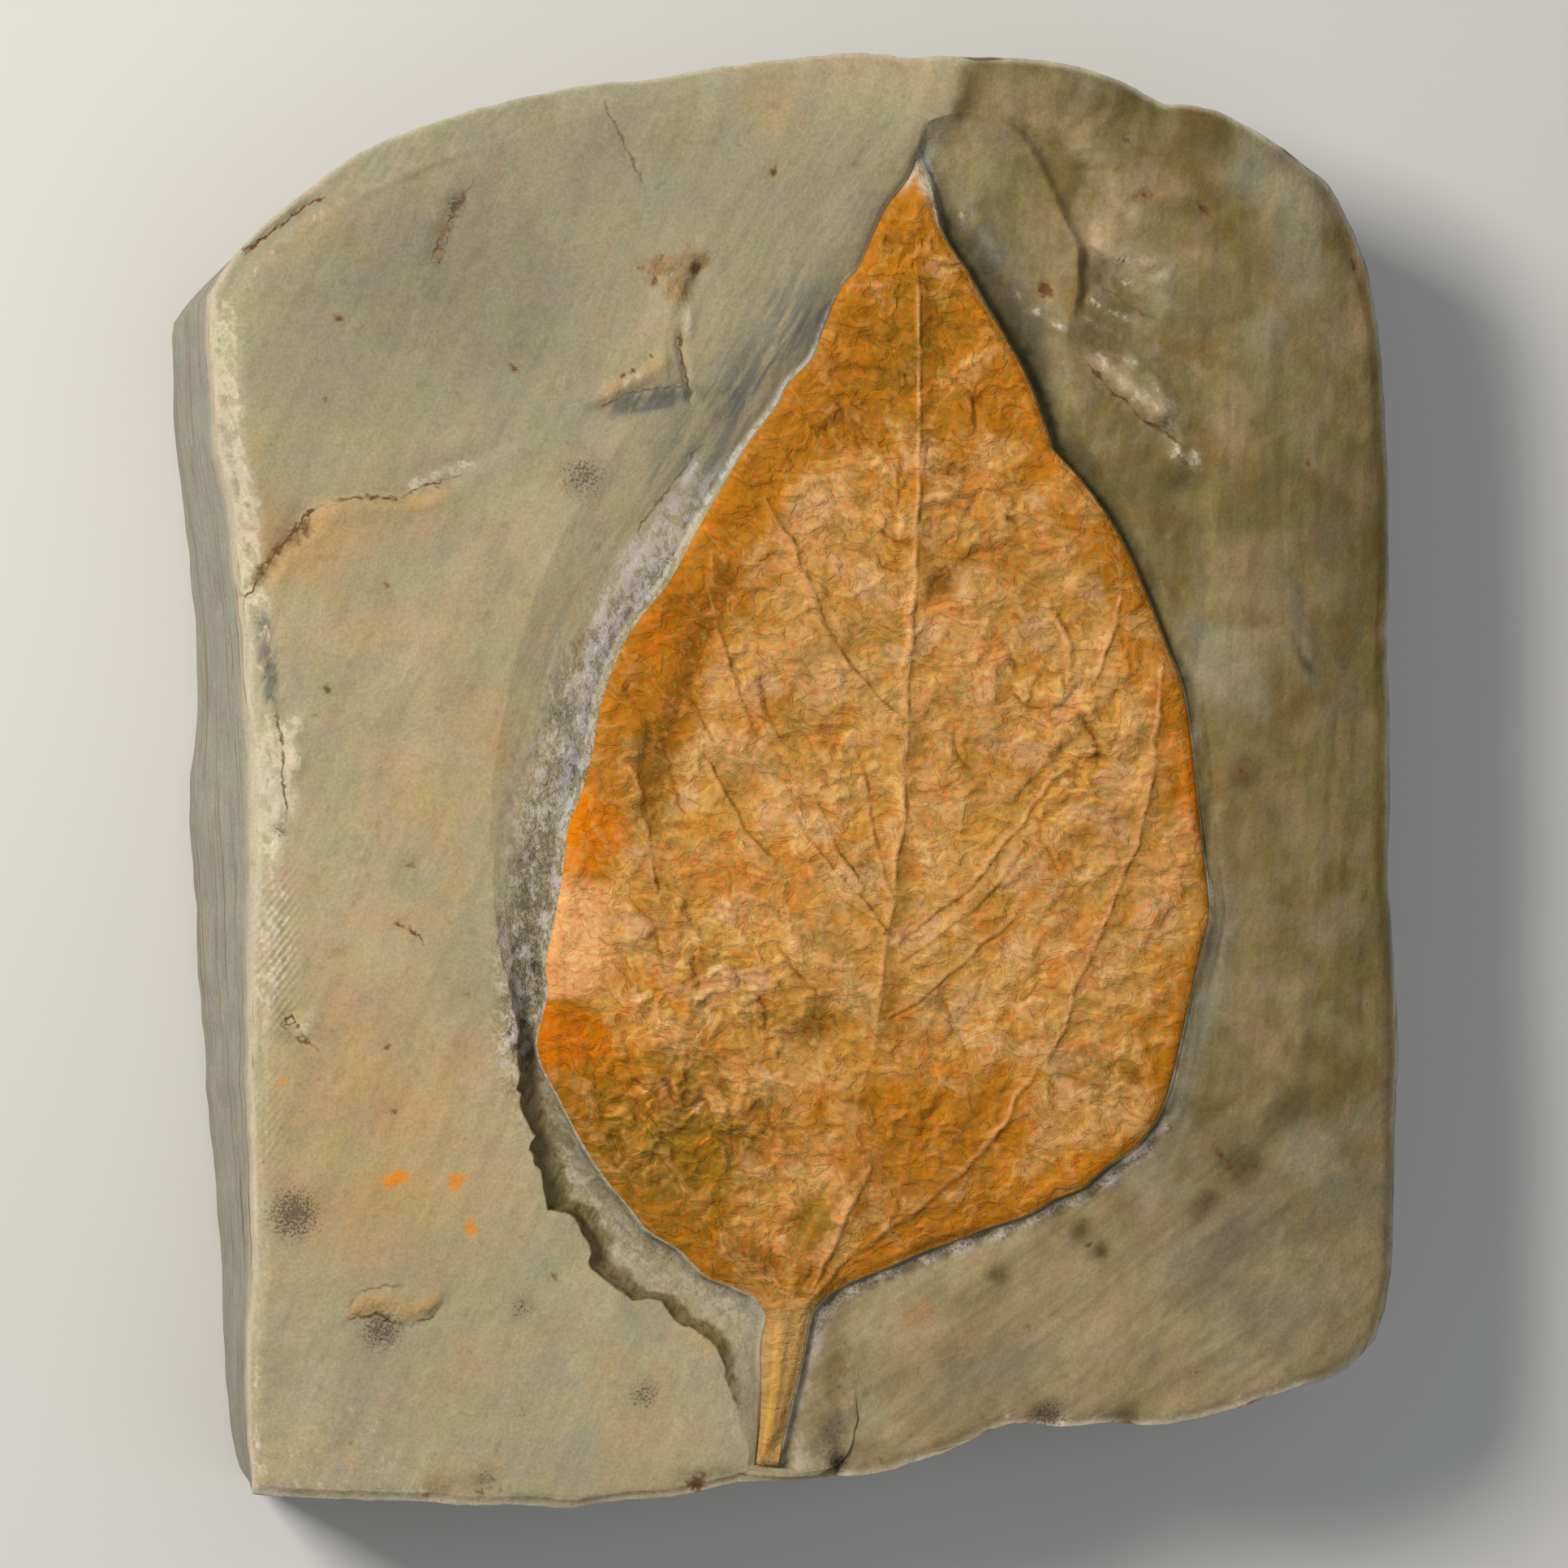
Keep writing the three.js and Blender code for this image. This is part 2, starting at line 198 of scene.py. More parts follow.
WALL_LEFT = (
    ((11.9, 61.4), (4.5, 61.6), (-7.2, 60.3), (-20.3, 58.6), (-33.4, 54.9), (-45.5, 47.5),
     (-50.4, 43.4), (-53, 40.2)),
    ((-53, 40.2), (-53.2, 38.8), (-53.1, 33), (-52.7, 28.9), (-52.1, 23.8), (-51.6, 18.2),
     (-51.1, 12), (-51, 5.6), (-51.5, 0), (-51.5, -3), (-50.9, -11.9), (-50.4, -22.1),
     (-49.7, -31.3), (-49.1, -38.1), (-48.6, -49.1), (-48.1, -55.2), (-47.1, -60.3),
     (-46.2, -61.9)),
    ((-46.2, -61.9), (-39.3, -61.4), (-29.1, -61.7), (-20.1, -61.8)),
    ((-20.1, -61.8), (-10.6, -60.7), (-4.4, -59.6)),
)
SMOOTH_PIECES = 12
RAGGED_SEED = 11
CARVING_BREAK_SPACING = 2.2
FACE_BREAK_SPACING = 3.1
FACE_BREAK = 0.16
WALL_BREAK_SPACING = 5.3
WALL_BREAK = 0.2


def run_along(line):
    """How far along a line each of its places lies."""
    return np.concatenate([[0], np.cumsum(np.hypot(*np.diff(line, axis=0).T))])


def smooth_line(points, steps):
    """Evenly spaced places, steps + 1 of them, on a smooth line through the given points."""
    points = np.array(points, dtype=float)
    before = 2 * points[0] - points[1]
    after = 2 * points[-1] - points[-2]
    guides = np.vstack([before, points, after])
    fine = [points[:1]]
    share = np.linspace(0, 1, SMOOTH_PIECES + 1)[1:, None]
    for a, b, c, d in zip(guides, guides[1:], guides[2:], guides[3:]):
        # A cubic whose slope at each point follows the chord between its neighbours
        length = np.hypot(*(c - b))
        slope_b = (c - a) * length / (np.hypot(*(b - a)) + length)
        slope_c = (d - b) * length / (np.hypot(*(d - c)) + length)
        rise = share * share * (3 - 2 * share)
        fine.append((1 - rise) * b + rise * c + share * (1 - share) ** 2 * slope_b
                    - share ** 2 * (1 - share) * slope_c)
    fine = np.vstack(fine)
    run = run_along(fine)
    even = np.linspace(0, run[-1], steps + 1)
    return np.column_stack([np.interp(even, run, fine[:, 0]), np.interp(even, run, fine[:, 1])])


def joined(stretches):
    """The four stretches of one side as one line, from the tip end to the stalk end."""
    lines = [smooth_line(points, steps) for points, steps in zip(stretches, STRETCH_STEPS)]
    return np.vstack([lines[0]] + [line[1:] for line in lines[1:]])


def around(right, left):
    """One closed line, clockwise from the tip: down the right side and back up the left."""
    return np.concatenate([right, left[:0:-1]])


ragged_dice = np.random.default_rng(RAGGED_SEED)


def ragged(line, spacing, amount):
    """Pushes the places of a closed line about by up to amount, as where stone has broken."""
    run = run_along(line)
    shift = np.zeros((len(line), 2))
    for share, gap in ((0.6, spacing), (0.4, spacing / 2.7)):
        knots = np.arange(0, run[-1] + gap, gap)
        for axis in (0, 1):
            throws = ragged_dice.uniform(-1, 1, len(knots))
            throws[-1] = throws[0]
            shift[:, axis] += share * np.interp(run, knots, throws)
    return line + shift * np.asarray(amount).reshape(-1, 1)


margin_right = joined(LEAF_RIGHT)
margin_left = joined(LEAF_LEFT)
side_count = len(margin_right)
margin_line = around(margin_right, margin_left)
loop_count = len(margin_line)
index_in_loop = np.arange(loop_count)
on_right = index_in_loop < side_count


def read_sides(right, left):
    """A value listed as (height up the leaf, value) for each side, read all around the loop."""
    right_at, right_values = zip(*right)
    left_at, left_values = zip(*left)
    down = -margin_line[:, 1]
    return np.where(on_right, np.interp(down, -np.array(right_at), right_values),
                    np.interp(down, -np.array(left_at), left_values))


# Where the rim of the carving has broken away, low on the left, its line is more ragged
CARVING_RAGGED_RIGHT = ((54, 0.1), (-30, 0.08), (-40, 0.3), (-59, 0.25))
CARVING_RAGGED_LEFT = ((54, 0.1), (10, 0.15), (-20, 0.6), (-32, 0.9), (-45, 0.8), (-59, 0.3))
carving_line = ragged(around(joined(CARVING_RIGHT), joined(CARVING_LEFT)), CARVING_BREAK_SPACING,
                      read_sides(CARVING_RAGGED_RIGHT, CARVING_RAGGED_LEFT))
face_line = ragged(around(joined(FACE_RIGHT), joined(FACE_LEFT)), FACE_BREAK_SPACING, FACE_BREAK)
wall_line = ragged(around(joined(WALL_RIGHT), joined(WALL_LEFT)), WALL_BREAK_SPACING, WALL_BREAK)

# The heights of the face: the old plain on the left, and the worn right side that falls away
PLAIN_HEIGHT = 26.0
PLAIN_RISE = 0.014
WORN_HEIGHT = 24.3
WORN_START = 20
WORN_SLOPE = 0.045
WORN_BEND = 38
WORN_CURVE = 0.015
WORN_LIFT = 2.2
WORN_LIFT_FROM = 48
WORN_LIFT_TO = 61
WORN_LIFT_LEFT = 18
WORN_LIFT_RIGHT = 42
LEAF_HEIGHT = 24.9
LEAF_TILT = 0.012
RIM_BELOW_LEAF = 0.42
PEDESTAL_FOOT = 0.55
RIDGE_STEPS = 14
# The carving's floor below the leaf's top, and how late its outer slope climbs
DEPTH_LEFT = ((54, -0.1), (47, 0), (40, 0.25), (33, 0.7), (22, 1.2), (6, 1.3), (-12, 1.3),
              (-22, 1.7), (-29, 2), (-36, 1.8), (-42, 1.3), (-46, 0.9), (-50, 0.5), (-54, 0.2),
              (-59, 0.1))
BOW_LEFT = ((54, 0.8), (40, 0.7), (30, 0.7), (10, 0.75), (-10, 0.9), (-17, 1.4), (-21, 4),
            (-25, 8), (-38, 9), (-43, 6), (-47, 4), (-51, 1.5), (-59, 1))
DEPTH_RIGHT = ((54, 0.6), (50, 1.3), (44, 2), (36, 2.3), (28, 1.9), (18, 1.2), (8, 0.7),
               (2, 0.45), (-6, 0.65), (-13, 0.4), (-22, 0.6), (-30, 0.6), (-42, 0.9), (-59, 1.1))
BOW_RIGHT = ((54, 1), (44, 1.2), (36, 1.8), (28, 1.8), (10, 1.2), (-42, 1), (-46, 1.6), (-59, 2))
# The broken edge of the face: its width and drop by share of the way clockwise around the block
EDGE_SIZES = ((0, 1.2, 0.7), (0.10, 1.6, 0.8), (0.17, 1.5, 0.6), (0.22, 1.4, 0.6),
              (0.34, 1.3, 0.5), (0.38, 1.2, 0.5), (0.47, 1.2, 0.6), (0.53, 1.2, 0.7),
              (0.60, 1.2, 0.7), (0.63, 1.6, 0.8), (0.70, 1.9, 1.1), (0.80, 2, 1.2),
              (0.855, 2.2, 1.2), (0.875, 3.8, 1.7), (0.9, 4.2, 1.9), (0.93, 3.6, 1.5),
              (0.95, 1.8, 0.9), (1, 1.2, 0.7))
EDGE_BOW = 1.05
EDGE_SHARE_LIMIT = 0.7
# Rings over the face: distances from the margin, counts, and shares of the edge's width
NEAR_RINGS = (0, 0.14, 0.32, 0.55, 0.8, 1.1, 1.45, 1.85)
CARVING_RINGS = 20
PLAIN_RINGS = 42
EDGE_SHARES = (1, 0.86, 0.72, 0.58, 0.45, 0.33, 0.22, 0.12, 0.05, 0)
NEAR_SHARE = 0.4
CROWDING = 1.7


def ease(value, start, end):
    """0 before start, 1 after end, and a soft S between."""
    share = np.clip((value - start) / (end - start), 0, 1)
    return share * share * (3 - 2 * share)


def leaf_top(x):
    return LEAF_HEIGHT - LEAF_TILT * x


def plain_height(y):
    return PLAIN_HEIGHT + PLAIN_RISE * y


def worn_height(x, y):
    past_bend = np.maximum(0, x - WORN_BEND)
    fall = WORN_SLOPE * np.maximum(0, x - WORN_START) + WORN_CURVE * past_bend ** 2
    lift = ease(y, WORN_LIFT_FROM, WORN_LIFT_TO) * (1 - ease(x, WORN_LIFT_LEFT, WORN_LIFT_RIGHT))
    return WORN_HEIGHT + WORN_LIFT * lift - fall


steps_around = np.hypot(*np.diff(np.vstack([face_line, face_line[:1]]), axis=0).T)
share_around = np.concatenate([[0], np.cumsum(steps_around)[:-1]]) / steps_around.sum()
edge_at, edge_widths, edge_drops = zip(*EDGE_SIZES)
carving_reach = np.hypot(*(carving_line - margin_line).T)
plain_reach = np.hypot(*(face_line - carving_line).T)
edge_width = np.interp(share_around, edge_at, edge_widths)
edge_width = np.minimum(edge_width, EDGE_SHARE_LIMIT * plain_reach)
edge_drop = np.interp(share_around, edge_at, edge_drops)
near_scale = np.minimum(1, NEAR_SHARE * carving_reach / NEAR_RINGS[-1])

# How far each ring lies from the leaf's margin. The rings crowd at the rim of the carving.
ring_out = [near_scale * out for out in NEAR_RINGS]
carving_crowding = 1 + (CROWDING - 1) * ease(carving_reach, 2, 5)
for part in np.linspace(0, 1, CARVING_RINGS + 1)[1:]:
    crowded = 1 - (1 - part) ** carving_crowding
    ring_out.append(ring_out[len(NEAR_RINGS) - 1] * (1 - crowded) + carving_reach * crowded)
for part in np.linspace(0, 1, PLAIN_RINGS + 1)[1:]:
    ring_out.append(carving_reach + (plain_reach - edge_width) * part ** CROWDING ** 0.5)
for part in EDGE_SHARES[1:]:
    ring_out.append(carving_reach + plain_reach - edge_width * part)
ring_out = np.array(ring_out)
ring_count = len(ring_out)

carving_part = np.clip(ring_out / carving_reach, 0, 1)[..., None]
plain_part = np.clip((ring_out - carving_reach) / plain_reach, 0, 1)[..., None]
ring_places = (margin_line + (carving_line - margin_line) * carving_part
               + (face_line - carving_line) * plain_part)
face_x = ring_places[..., 0]
face_y = ring_places[..., 1]

# How much of the worn right side a place belongs to: it turns over the ridge above the tip
rightness = np.where(on_right, ease(index_in_loop, 0, RIDGE_STEPS), 0)
stalk_turn = np.arange(side_count - RIDGE_STEPS, side_count)
rightness[stalk_turn] *= 1 - ease(stalk_turn, side_count - RIDGE_STEPS, side_count)
open_height = plain_height(face_y) * (1 - rightness) + worn_height(face_x, face_y) * rightness
foot = near_scale * PEDESTAL_FOOT
climb = np.clip((ring_out - foot) / (carving_reach - foot), 0, 1) ** read_sides(BOW_RIGHT, BOW_LEFT)
floor_height = leaf_top(margin_line[:, 0]) - read_sides(DEPTH_RIGHT, DEPTH_LEFT)
rim_height = leaf_top(margin_line[:, 0]) - RIM_BELOW_LEAF
carved_height = floor_height + (open_height - floor_height) * climb
carved_height = rim_height + (carved_height - rim_height) * ease(ring_out, 0, foot)
from_edge = carving_reach + plain_reach - ring_out
edge_fall = edge_drop * np.clip(1 - from_edge / edge_width, 0, 1) ** EDGE_BOW
base_z = carved_height - edge_fall
face_z = base_z.copy()

# Marks on the face: cracks, steps, ridges, chips and small pits, each where it lies. A mark
# changes the height of the stone, and keeps a tint for the stone's material to read.
tints = {name: np.zeros_like(face_x) for name in
         ("soot", "rust", "brown", "pale", "chalky", "warm", "cool", "deep", "fresh", "rough",
          "rasp", "undercut", "slate", "russet")}


def line_gap(x, y, points):
    """Distance of places from a line, positive on its left, and how far along it they lie."""
    nearest = np.full(np.shape(x), np.inf)
    signed = np.zeros_like(nearest)
    run_there = np.zeros_like(nearest)
    run = 0.0
    for (ax, ay), (bx, by) in zip(points, points[1:]):
        length = math.hypot(bx - ax, by - ay)
        ux, uy = (bx - ax) / length, (by - ay) / length
        reach = np.clip((x - ax) * ux + (y - ay) * uy, 0, length)
        gap = np.hypot(x - ax - reach * ux, y - ay - reach * uy)
        nearer = gap < nearest
        nearest = np.where(nearer, gap, nearest)
        side = np.where(ux * (y - ay) - uy * (x - ax) >= 0, 1, -1)
        signed = np.where(nearer, gap * side, signed)
        run_there = np.where(nearer, run + reach, run_there)
        run += length
    return signed, run_there / run


def blot(x, y, place, radius_x, radius_y=None, turn=0.0):
    """1 at a place, fading to 0 around it, round or stretched and turned by some degrees."""
    c, s = math.cos(math.radians(turn)), math.sin(math.radians(turn))
    u = ((x - place[0]) * c + (y - place[1]) * s) / radius_x
    v = ((y - place[1]) * c - (x - place[0]) * s) / (radius_y or radius_x)
    return np.exp(-(u * u + v * v))


def tint(name, mask, strength=1.0):
    tints[name] = np.maximum(tints[name], strength * mask)


def stain(name, strength, place, *shape):
    """A tint on the stone at a place, with its radii and turn, fading out from it."""
    tint(name, blot(face_x, face_y, place, *shape), strength)


def along(x, y, points, width, ends=0.15):
    """1 on a line, fading to 0 beside it and at both its ends."""
    gap, share = line_gap(x, y, points)
    return np.exp(-(gap / width) ** 2) * ease(share, 0, ends) * ease(1 - share, 0, ends)


def streak(name, strength, points, *shape):
    """A tint on the stone along a line, with its width and the share of its faded ends."""
    tint(name, along(face_x, face_y, points, *shape), strength)


def ridge(points, width, height, name=None, strength=1.0, ends=0.15):
    """Raises the stone along a line, or cuts it where the height is negative."""
    global face_z
    profile = along(face_x, face_y, points, width, ends)
    face_z = face_z + height * profile
    if name:
        tint(name, profile, strength)


def step(points, height, width, fade):
    """Lifts the stone on the left of a line and drops it on the right, fading away from it."""
    global face_z
    gap, share = line_gap(face_x, face_y, points)
    lifted = ease(gap, -width, width) * np.exp(-np.maximum(gap, 0) / fade)
    sunk = (1 - ease(gap, -width, width)) * np.exp(-np.maximum(-gap, 0) / fade)
    face_z = face_z + height * (lifted - sunk) / 2 * ease(share, 0, 0.1) * ease(1 - share, 0, 0.2)


def pit(place, radius, depth, name=None, strength=1.0, stretch=1.0, turn=0.0):
    """A small hollow, or a bump where the depth is negative."""
    global face_z
    profile = blot(face_x, face_y, place, radius * stretch, radius, turn)
    face_z = face_z - depth * profile
    if name:
        tint(name, profile, strength)


crack_side = np.full_like(face_x, 9)
crack_share = np.zeros_like(face_x)


def crack(points, width, depth, strength=1.0, ends=0.15):
    """A thin dark crack: a cut in the stone, and how far to each side of it every place lies."""
    global crack_side, crack_share
    ridge(points, width, -depth, ends=ends)
    gap, share = line_gap(face_x, face_y, points)
    nearer = np.abs(gap) < np.abs(crack_side)
    crack_side = np.where(nearer, gap, crack_side)
    faded = strength * ease(share, 0, ends) * ease(1 - share, 0, ends)
    crack_share = np.where(nearer, faded, crack_share)


# The crack that steps across the plain, with a warm slope below it and a pink lip along it
STEP_CRACK = ((-50.6, 14.8), (-48.9, 15.2), (-47.2, 16.1), (-46.6, 17.4), (-45.5, 19.2),
              (-44.6, 20.3), (-43.5, 21.6), (-42.6, 22.9), (-40.9, 23.8), (-37.7, 24.3),
              (-35.1, 24.1), (-34.4, 24.3), (-32, 25.4), (-30, 25.9), (-28.9, 26.5),
              (-24.4, 28.8), (-20.3, 31.1))
step(STEP_CRACK, -0.7, 0.35, 6)
crack(STEP_CRACK[1:9], 0.45, 0.7, 1.3)
# Painted shade in brown and dark olive along the crack
streak("brown", 1.0, STEP_CRACK[2:8], 0.6)
streak("deep", 0.9, STEP_CRACK[2:7], 0.45)
stain("deep", 0.2, (-46, 22), 3, 2.6, 30)
crack(STEP_CRACK[8:15], 0.35, 0.45)
ridge([(x + 0.9, y - 0.8) for x, y in STEP_CRACK[2:14]], 0.9, 0.3, "warm", 1.0)
ridge(((-33.9, 24.9), (-32.2, 25.8), (-30.6, 26.2)), 0.4, 0.35, "pale", 0.9)
ridge(((-43.9, 19.9), (-42.8, 21.4), (-41.4, 22.6)), 0.7, -0.4, "brown", 0.8, 0.05)
for x, y in ((-33.4, 25.3), (-31.9, 26), (-30.5, 26.5), (-29, 27.2)):
    pit((x, y), 0.5, -0.3, "pale", 1.1, 1.5, 30)
ridge(((-34.6, 23.8), (-32.4, 24.6), (-29.6, 25.4)), 0.35, -0.3, "brown", 0.6)
stain("deep", 0.35, (-31.6, 27), 4.5, 1.1, 25)
# Fine cracks and scars on the plain
for points, width, depth, strength in (
        (((-17.5, 58.9), (-15.6, 54.8), (-14.7, 53), (-13.9, 51.3), (-13, 50.4)), 0.2, 0.25, 0.65),
        (((-28, 51.8), (-29.6, 49.6), (-30.8, 47.3), (-31.7, 45.4), (-31.9, 44)), 0.3, 0.2, 0.8),
        (((-35.3, -12.3), (-34.4, -12.3), (-33.3, -13.3), (-32.5, -14.2)), 0.3, 0.3, 1),
        (((-45.1, -20.9), (-44, -19.9), (-43.1, -21.7), (-41.3, -23.3)), 0.4, 0.45, 1.1),
        (((-44.9, -20.9), (-43.4, -22.1), (-42.1, -22.6)), 0.3, 0.3, 1)):
    crack(points, width, depth, strength)
pit((-29.8, 49.5), 0.55, 0.3, "soot", 1.3, 1.8, 50)
ridge(((-28.8, 50.6), (-30.2, 48.2), (-31.3, 45.4), (-31.6, 43.4)), 0.5, -0.15, "soot", 0.75)
ridge(((-29.6, 49.2), (-31, 46.6), (-31.2, 43.8)), 0.8, -0.1, "russet", 0.42)
pit((-42.5, -20.8), 1.2, -0.3, "pale", 0.7)
# The split along the left edge, with cream flakes on both sides, and the chipped corner above
EDGE_SPLIT = ((-46.5, 14.3), (-46.3, 12.2), (-45.9, 10), (-45.7, 8), (-45.3, 6), (-45, 4.2),
              (-44.6, 2.2), (-44.7, 0.4), (-44.4, -1.7), (-44.5, -3.6))
ridge(EDGE_SPLIT[4:], 1.3, 0.2, "pale", 1.0, 0.2)
ridge(EDGE_SPLIT[:5], 0.7, -0.5, "slate", 1.6, 0.1)
streak("deep", 0.55, EDGE_SPLIT[1:6], 0.35)
crack(EDGE_SPLIT[4:], 0.35, 0.6, 0.9, 0.06)
step(EDGE_SPLIT[3:], 0.4, 0.2, 1.4)
for x, y, turn in ((-45.5, 3.6, 70), (-43.9, 1.2, 60), (-45.6, -0.6, 50), (-43.6, 4.4, 75),
                   (-45.3, -3, 60)):
    pit((x, y), 0.6, -0.35, "pale", 1.2, 2, turn)
crack(((-48, 44.9), (-47, 45.7), (-45.1, 47.3), (-43, 48.9), (-41, 50)), 0.4, 0.6, 1.4, 0.05)
pit((-44.9, -4.4), 0.6, 0.5, "soot", 0.8, 1.3, -40)
# The step at the outer edge of the upper carving, its slate facet and its rough russet triangle
crack(((-10.5, 39), (-10.7, 37.4), (-10.1, 35.2), (-9.8, 32.4)), 0.3, 0.4, 1.0)
ridge(((-10, 41.6), (-9.9, 39.4), (-10, 37.6)), 0.4, 0.25, "pale", 0.8)
ridge(((-7.8, 45.4), (-9.4, 42.6), (-10.3, 39.6)), 0.5, -0.25, "brown", 0.25)
# A painted shadow line beside the step
ridge(((-9.4, 33.3), (-7, 33.2), (-4.4, 33.4)), 0.4, -0.25, "deep", 0.4)
crack(((-18, 31.7), (-15.6, 33.1), (-13, 33.7), (-10, 33.9)), 0.4, 0.3, 0.7, 0.1)
stain("slate", 2.2, (-13.4, 32.6), 4.2, 0.85, 9)
pit((-13.4, 32.5), 0.7, 0.5, "deep", 0.35, 4.4, 9)
ridge(((-18.2, 32), (-15.8, 33.9), (-13, 35.2), (-11.2, 36.4)), 0.55, 0.4, "warm", 1.3)
ridge(((-17.4, 32.6), (-15.4, 34.1), (-13, 35.3)), 0.35, 0.1, "pale", 0.8)
ridge(((-16.6, 34.1), (-14.2, 35.6), (-12.4, 37)), 0.3, -0.2, "brown", 0.7)
for shape in (((-11.9, 44.1), 2.3, 1, 12), ((-9.7, 44.4), 1.7, 1.3, 20), ((-10.7, 42.2), 1.4, 1.6)):
    stain("russet", 0.95, *shape)
    stain("rough", 0.9, *shape)
for x, y in ((-14, 44.1), (-12.3, 44.6), (-9.2, 44), (-11.4, 42), (-12.9, 43)):
    pit((x, y), 0.45, 0.25, "brown", 0.95, 1.6, 60)
# The carved facet right of the tip, its crest, and the pale lips and hollows beyond it
FACET_EDGE = ((16.2, 57.2), (18.6, 55.8), (20.2, 53.8), (21.4, 51.5), (22.8, 48.8), (24.1, 45.8),
              (24.3, 42.2), (23.4, 38.8))
ridge(FACET_EDGE, 0.5, 0.2)
# Painted shade beyond the crest, and in the valley right of the tip
ridge([(x + 0.9, y + 0.4) for x, y in FACET_EDGE], 0.6, -0.35, "deep", 0.4)
ridge(((14.9, 62), (14.9, 58.4), (13.2, 57)), 1.1, -0.35, "deep", 0.25)
stain("warm", 0.75, (18.5, 59.3), 3.5, 2.4)
for x, y, turn in ((14.6, 48.8, -55), (16.3, 46.6, -60), (17.4, 44.6, -65), (19.4, 41.9, -40),
                   (20.8, 40.6, -35), (22.4, 39.4, -25)):
    pit((x, y), 0.35, -0.25, "pale", 0.85, 2.6, turn)
# Ledges of flaky stone: each is a cliff on its left, with a dark line under it and pale flakes
FLAKE_LEDGE = ((24.6, 36.8), (25.6, 35.4), (27.2, 33.8), (28.4, 32.9), (30, 31.2), (31.6, 30.4),
               (33.6, 28.6))
step(FLAKE_LEDGE, 0.9, 0.25, 2.2)
crack(FLAKE_LEDGE, 0.4, 0.35, 1.1)
ridge(((26, 37.2), (28.4, 34.9), (31, 32.6), (32.8, 30.8)), 0.8, 0.2, "warm", 1.2)
for x, y, turn in ((26.6, 36.1, -48), (28.3, 34.4, -40), (29.8, 33.2, -45), (31.3, 32, -40),
                   (32.4, 30.8, -50), (28.9, 36.2, -50), (30.9, 34.4, -55), (32.2, 32.6, -60)):
    pit((x, y), 0.55, -0.4, "pale", 0.7, 2.6, turn)
WARM_LEDGE = ((24.8, 46.6), (26.6, 45.2), (28, 44.9), (29.5, 44.2), (31.6, 44.3), (33.2, 43.6))
step(WARM_LEDGE, 0.7, 0.3, 1.6)
ridge([(x + 0.2, y + 0.5) for x, y in WARM_LEDGE], 1.1, 0.15, "warm", 1.9)
stain("warm", 1.1, (29, 46.4), 4.5, 1.8, -15)
for x, y, turn in ((26.3, 46, -35), (28.2, 45.2, -10), (30.2, 44.9, -15), (27, 44, -40),
                   (28.6, 43.1, -25), (30.2, 42.5, -20), (31.8, 43.6, 10)):
    pit((x, y), 0.45, -0.3, "pale", 0.5, 2.6, turn)
ridge(((24.9, 42), (26.8, 40.8), (29.2, 39.7)), 0.25, 0.3, "pale", 0.6)
ridge(((24.4, 40.4), (26.4, 39.2), (28.4, 38)), 0.25, 0.25, "pale", 0.5)
ridge(((23.6, 56.6), (27, 53), (29.2, 49.4), (30, 46.6)), 2.2, 0.5, "warm", 0.6)
ridge(((34.4, 46.6), (36.6, 43.4), (37.4, 39.6)), 1.6, 0.3, "warm", 0.35)
step(((23.6, 52.8), (26.4, 50.4), (28.8, 47.6)), -0.4, 0.3, 2)
for height in (52.6, 54, 55.2, 56.6):
    ridge(((22.6, height), (28, height + 0.3), (34.6, height - 0.5)), 0.22, -0.12, "brown", 0.3)
ridge(((29, 50.3), (30.2, 50.8), (31.6, 50.6)), 0.3, -0.2, "russet", 1.3, 0.05)
crack(((26.4, 43), (28.4, 41.2), (31.4, 39.8)), 0.3, 0.3, 0.5)
pit((33, 28.4), 0.55, -0.6, "pale", 1.0, 1.9, -70)
pit((34.4, 28), 0.6, -0.6, "pale", 1.0, 2.0, -80)
# Painted shade in the hollows below and between the ledges
pit((33.7, 26), 1.4, 0.6, "deep", 0.8, 1.4, 10)
pit((32.2, 31), 0.8, 0.5, "deep", 0.8)
pit((21.6, 42.4), 0.8, 0.5, "brown", 1.0, 1.3, 70)
pit((26.4, 43.9), 1.4, 0.9, "deep", 0.7, 1.5, -50)
pit((27.5, 41.5), 1.6, 0.6, "deep", 0.5, 1.6, -30)
pit((26, 38.6), 1.9, 0.9, "deep", 0.65, 1.6, -30)
stain("deep", 0.75, (26.6, 39.4), 3.8, 1.8, -28)
stain("slate", 0.85, (17.4, 44.6), 1.9, 7.5, 28)
stain("deep", 0.14, (18, 47), 3, 8, 24)
stain("deep", 0.3, (30, 46.5), 2.4, 1.2, -20)
stain("deep", 0.3, (27.4, 31.6), 4, 1.1, -50)
for shape in ((0.3, (34, 20), 2, 9, 20), (0.22, (40, 10), 2.2, 9, 5), (0.25, (38, -14), 1.6, 9, -4),
              (0.2, (46.5, 38), 2, 7, 10), (0.3, (27, 58.6), 4, 1.6, -10),
              (0.3, (36.5, 55.6), 2.4, 1.2, -25), (0.5, (47, 47.4), 1, 2.4, 25),
              (0.2, (48.8, 12), 1.6, 12), (0.3, (36.4, -28), 2.4, 5, -30)):
    stain("deep", *shape)
stain("brown", 0.35, (27.5, 39.3), 4, 2, -30)
pit((35.3, 49.3), 0.5, 0.3, "brown", 1.3, 2.2, -50)
pit((34.2, 50.1), 0.4, 0.2, "soot", 0.6, 1.6, -10)
pit((29.2, 57.2), 0.7, 0.2, "brown", 0.8, 1.6, -20)
pit((49, 44.6), 0.6, 0.3, "brown", 0.7, 2.8, -70)
stain("rough", 0.6, (28.5, 40), 8, 11, 30)
stain("rough", 0.6, (23, 57), 8, 4)
ridge(((43.3, 13.3), (44, 10.8), (45.4, 9)), 0.35, -0.3, "deep", 0.8)
ridge(((43.1, 18), (44.3, 12.4), (45.1, 7.8)), 0.8, 0.2, "cool", 0.6)
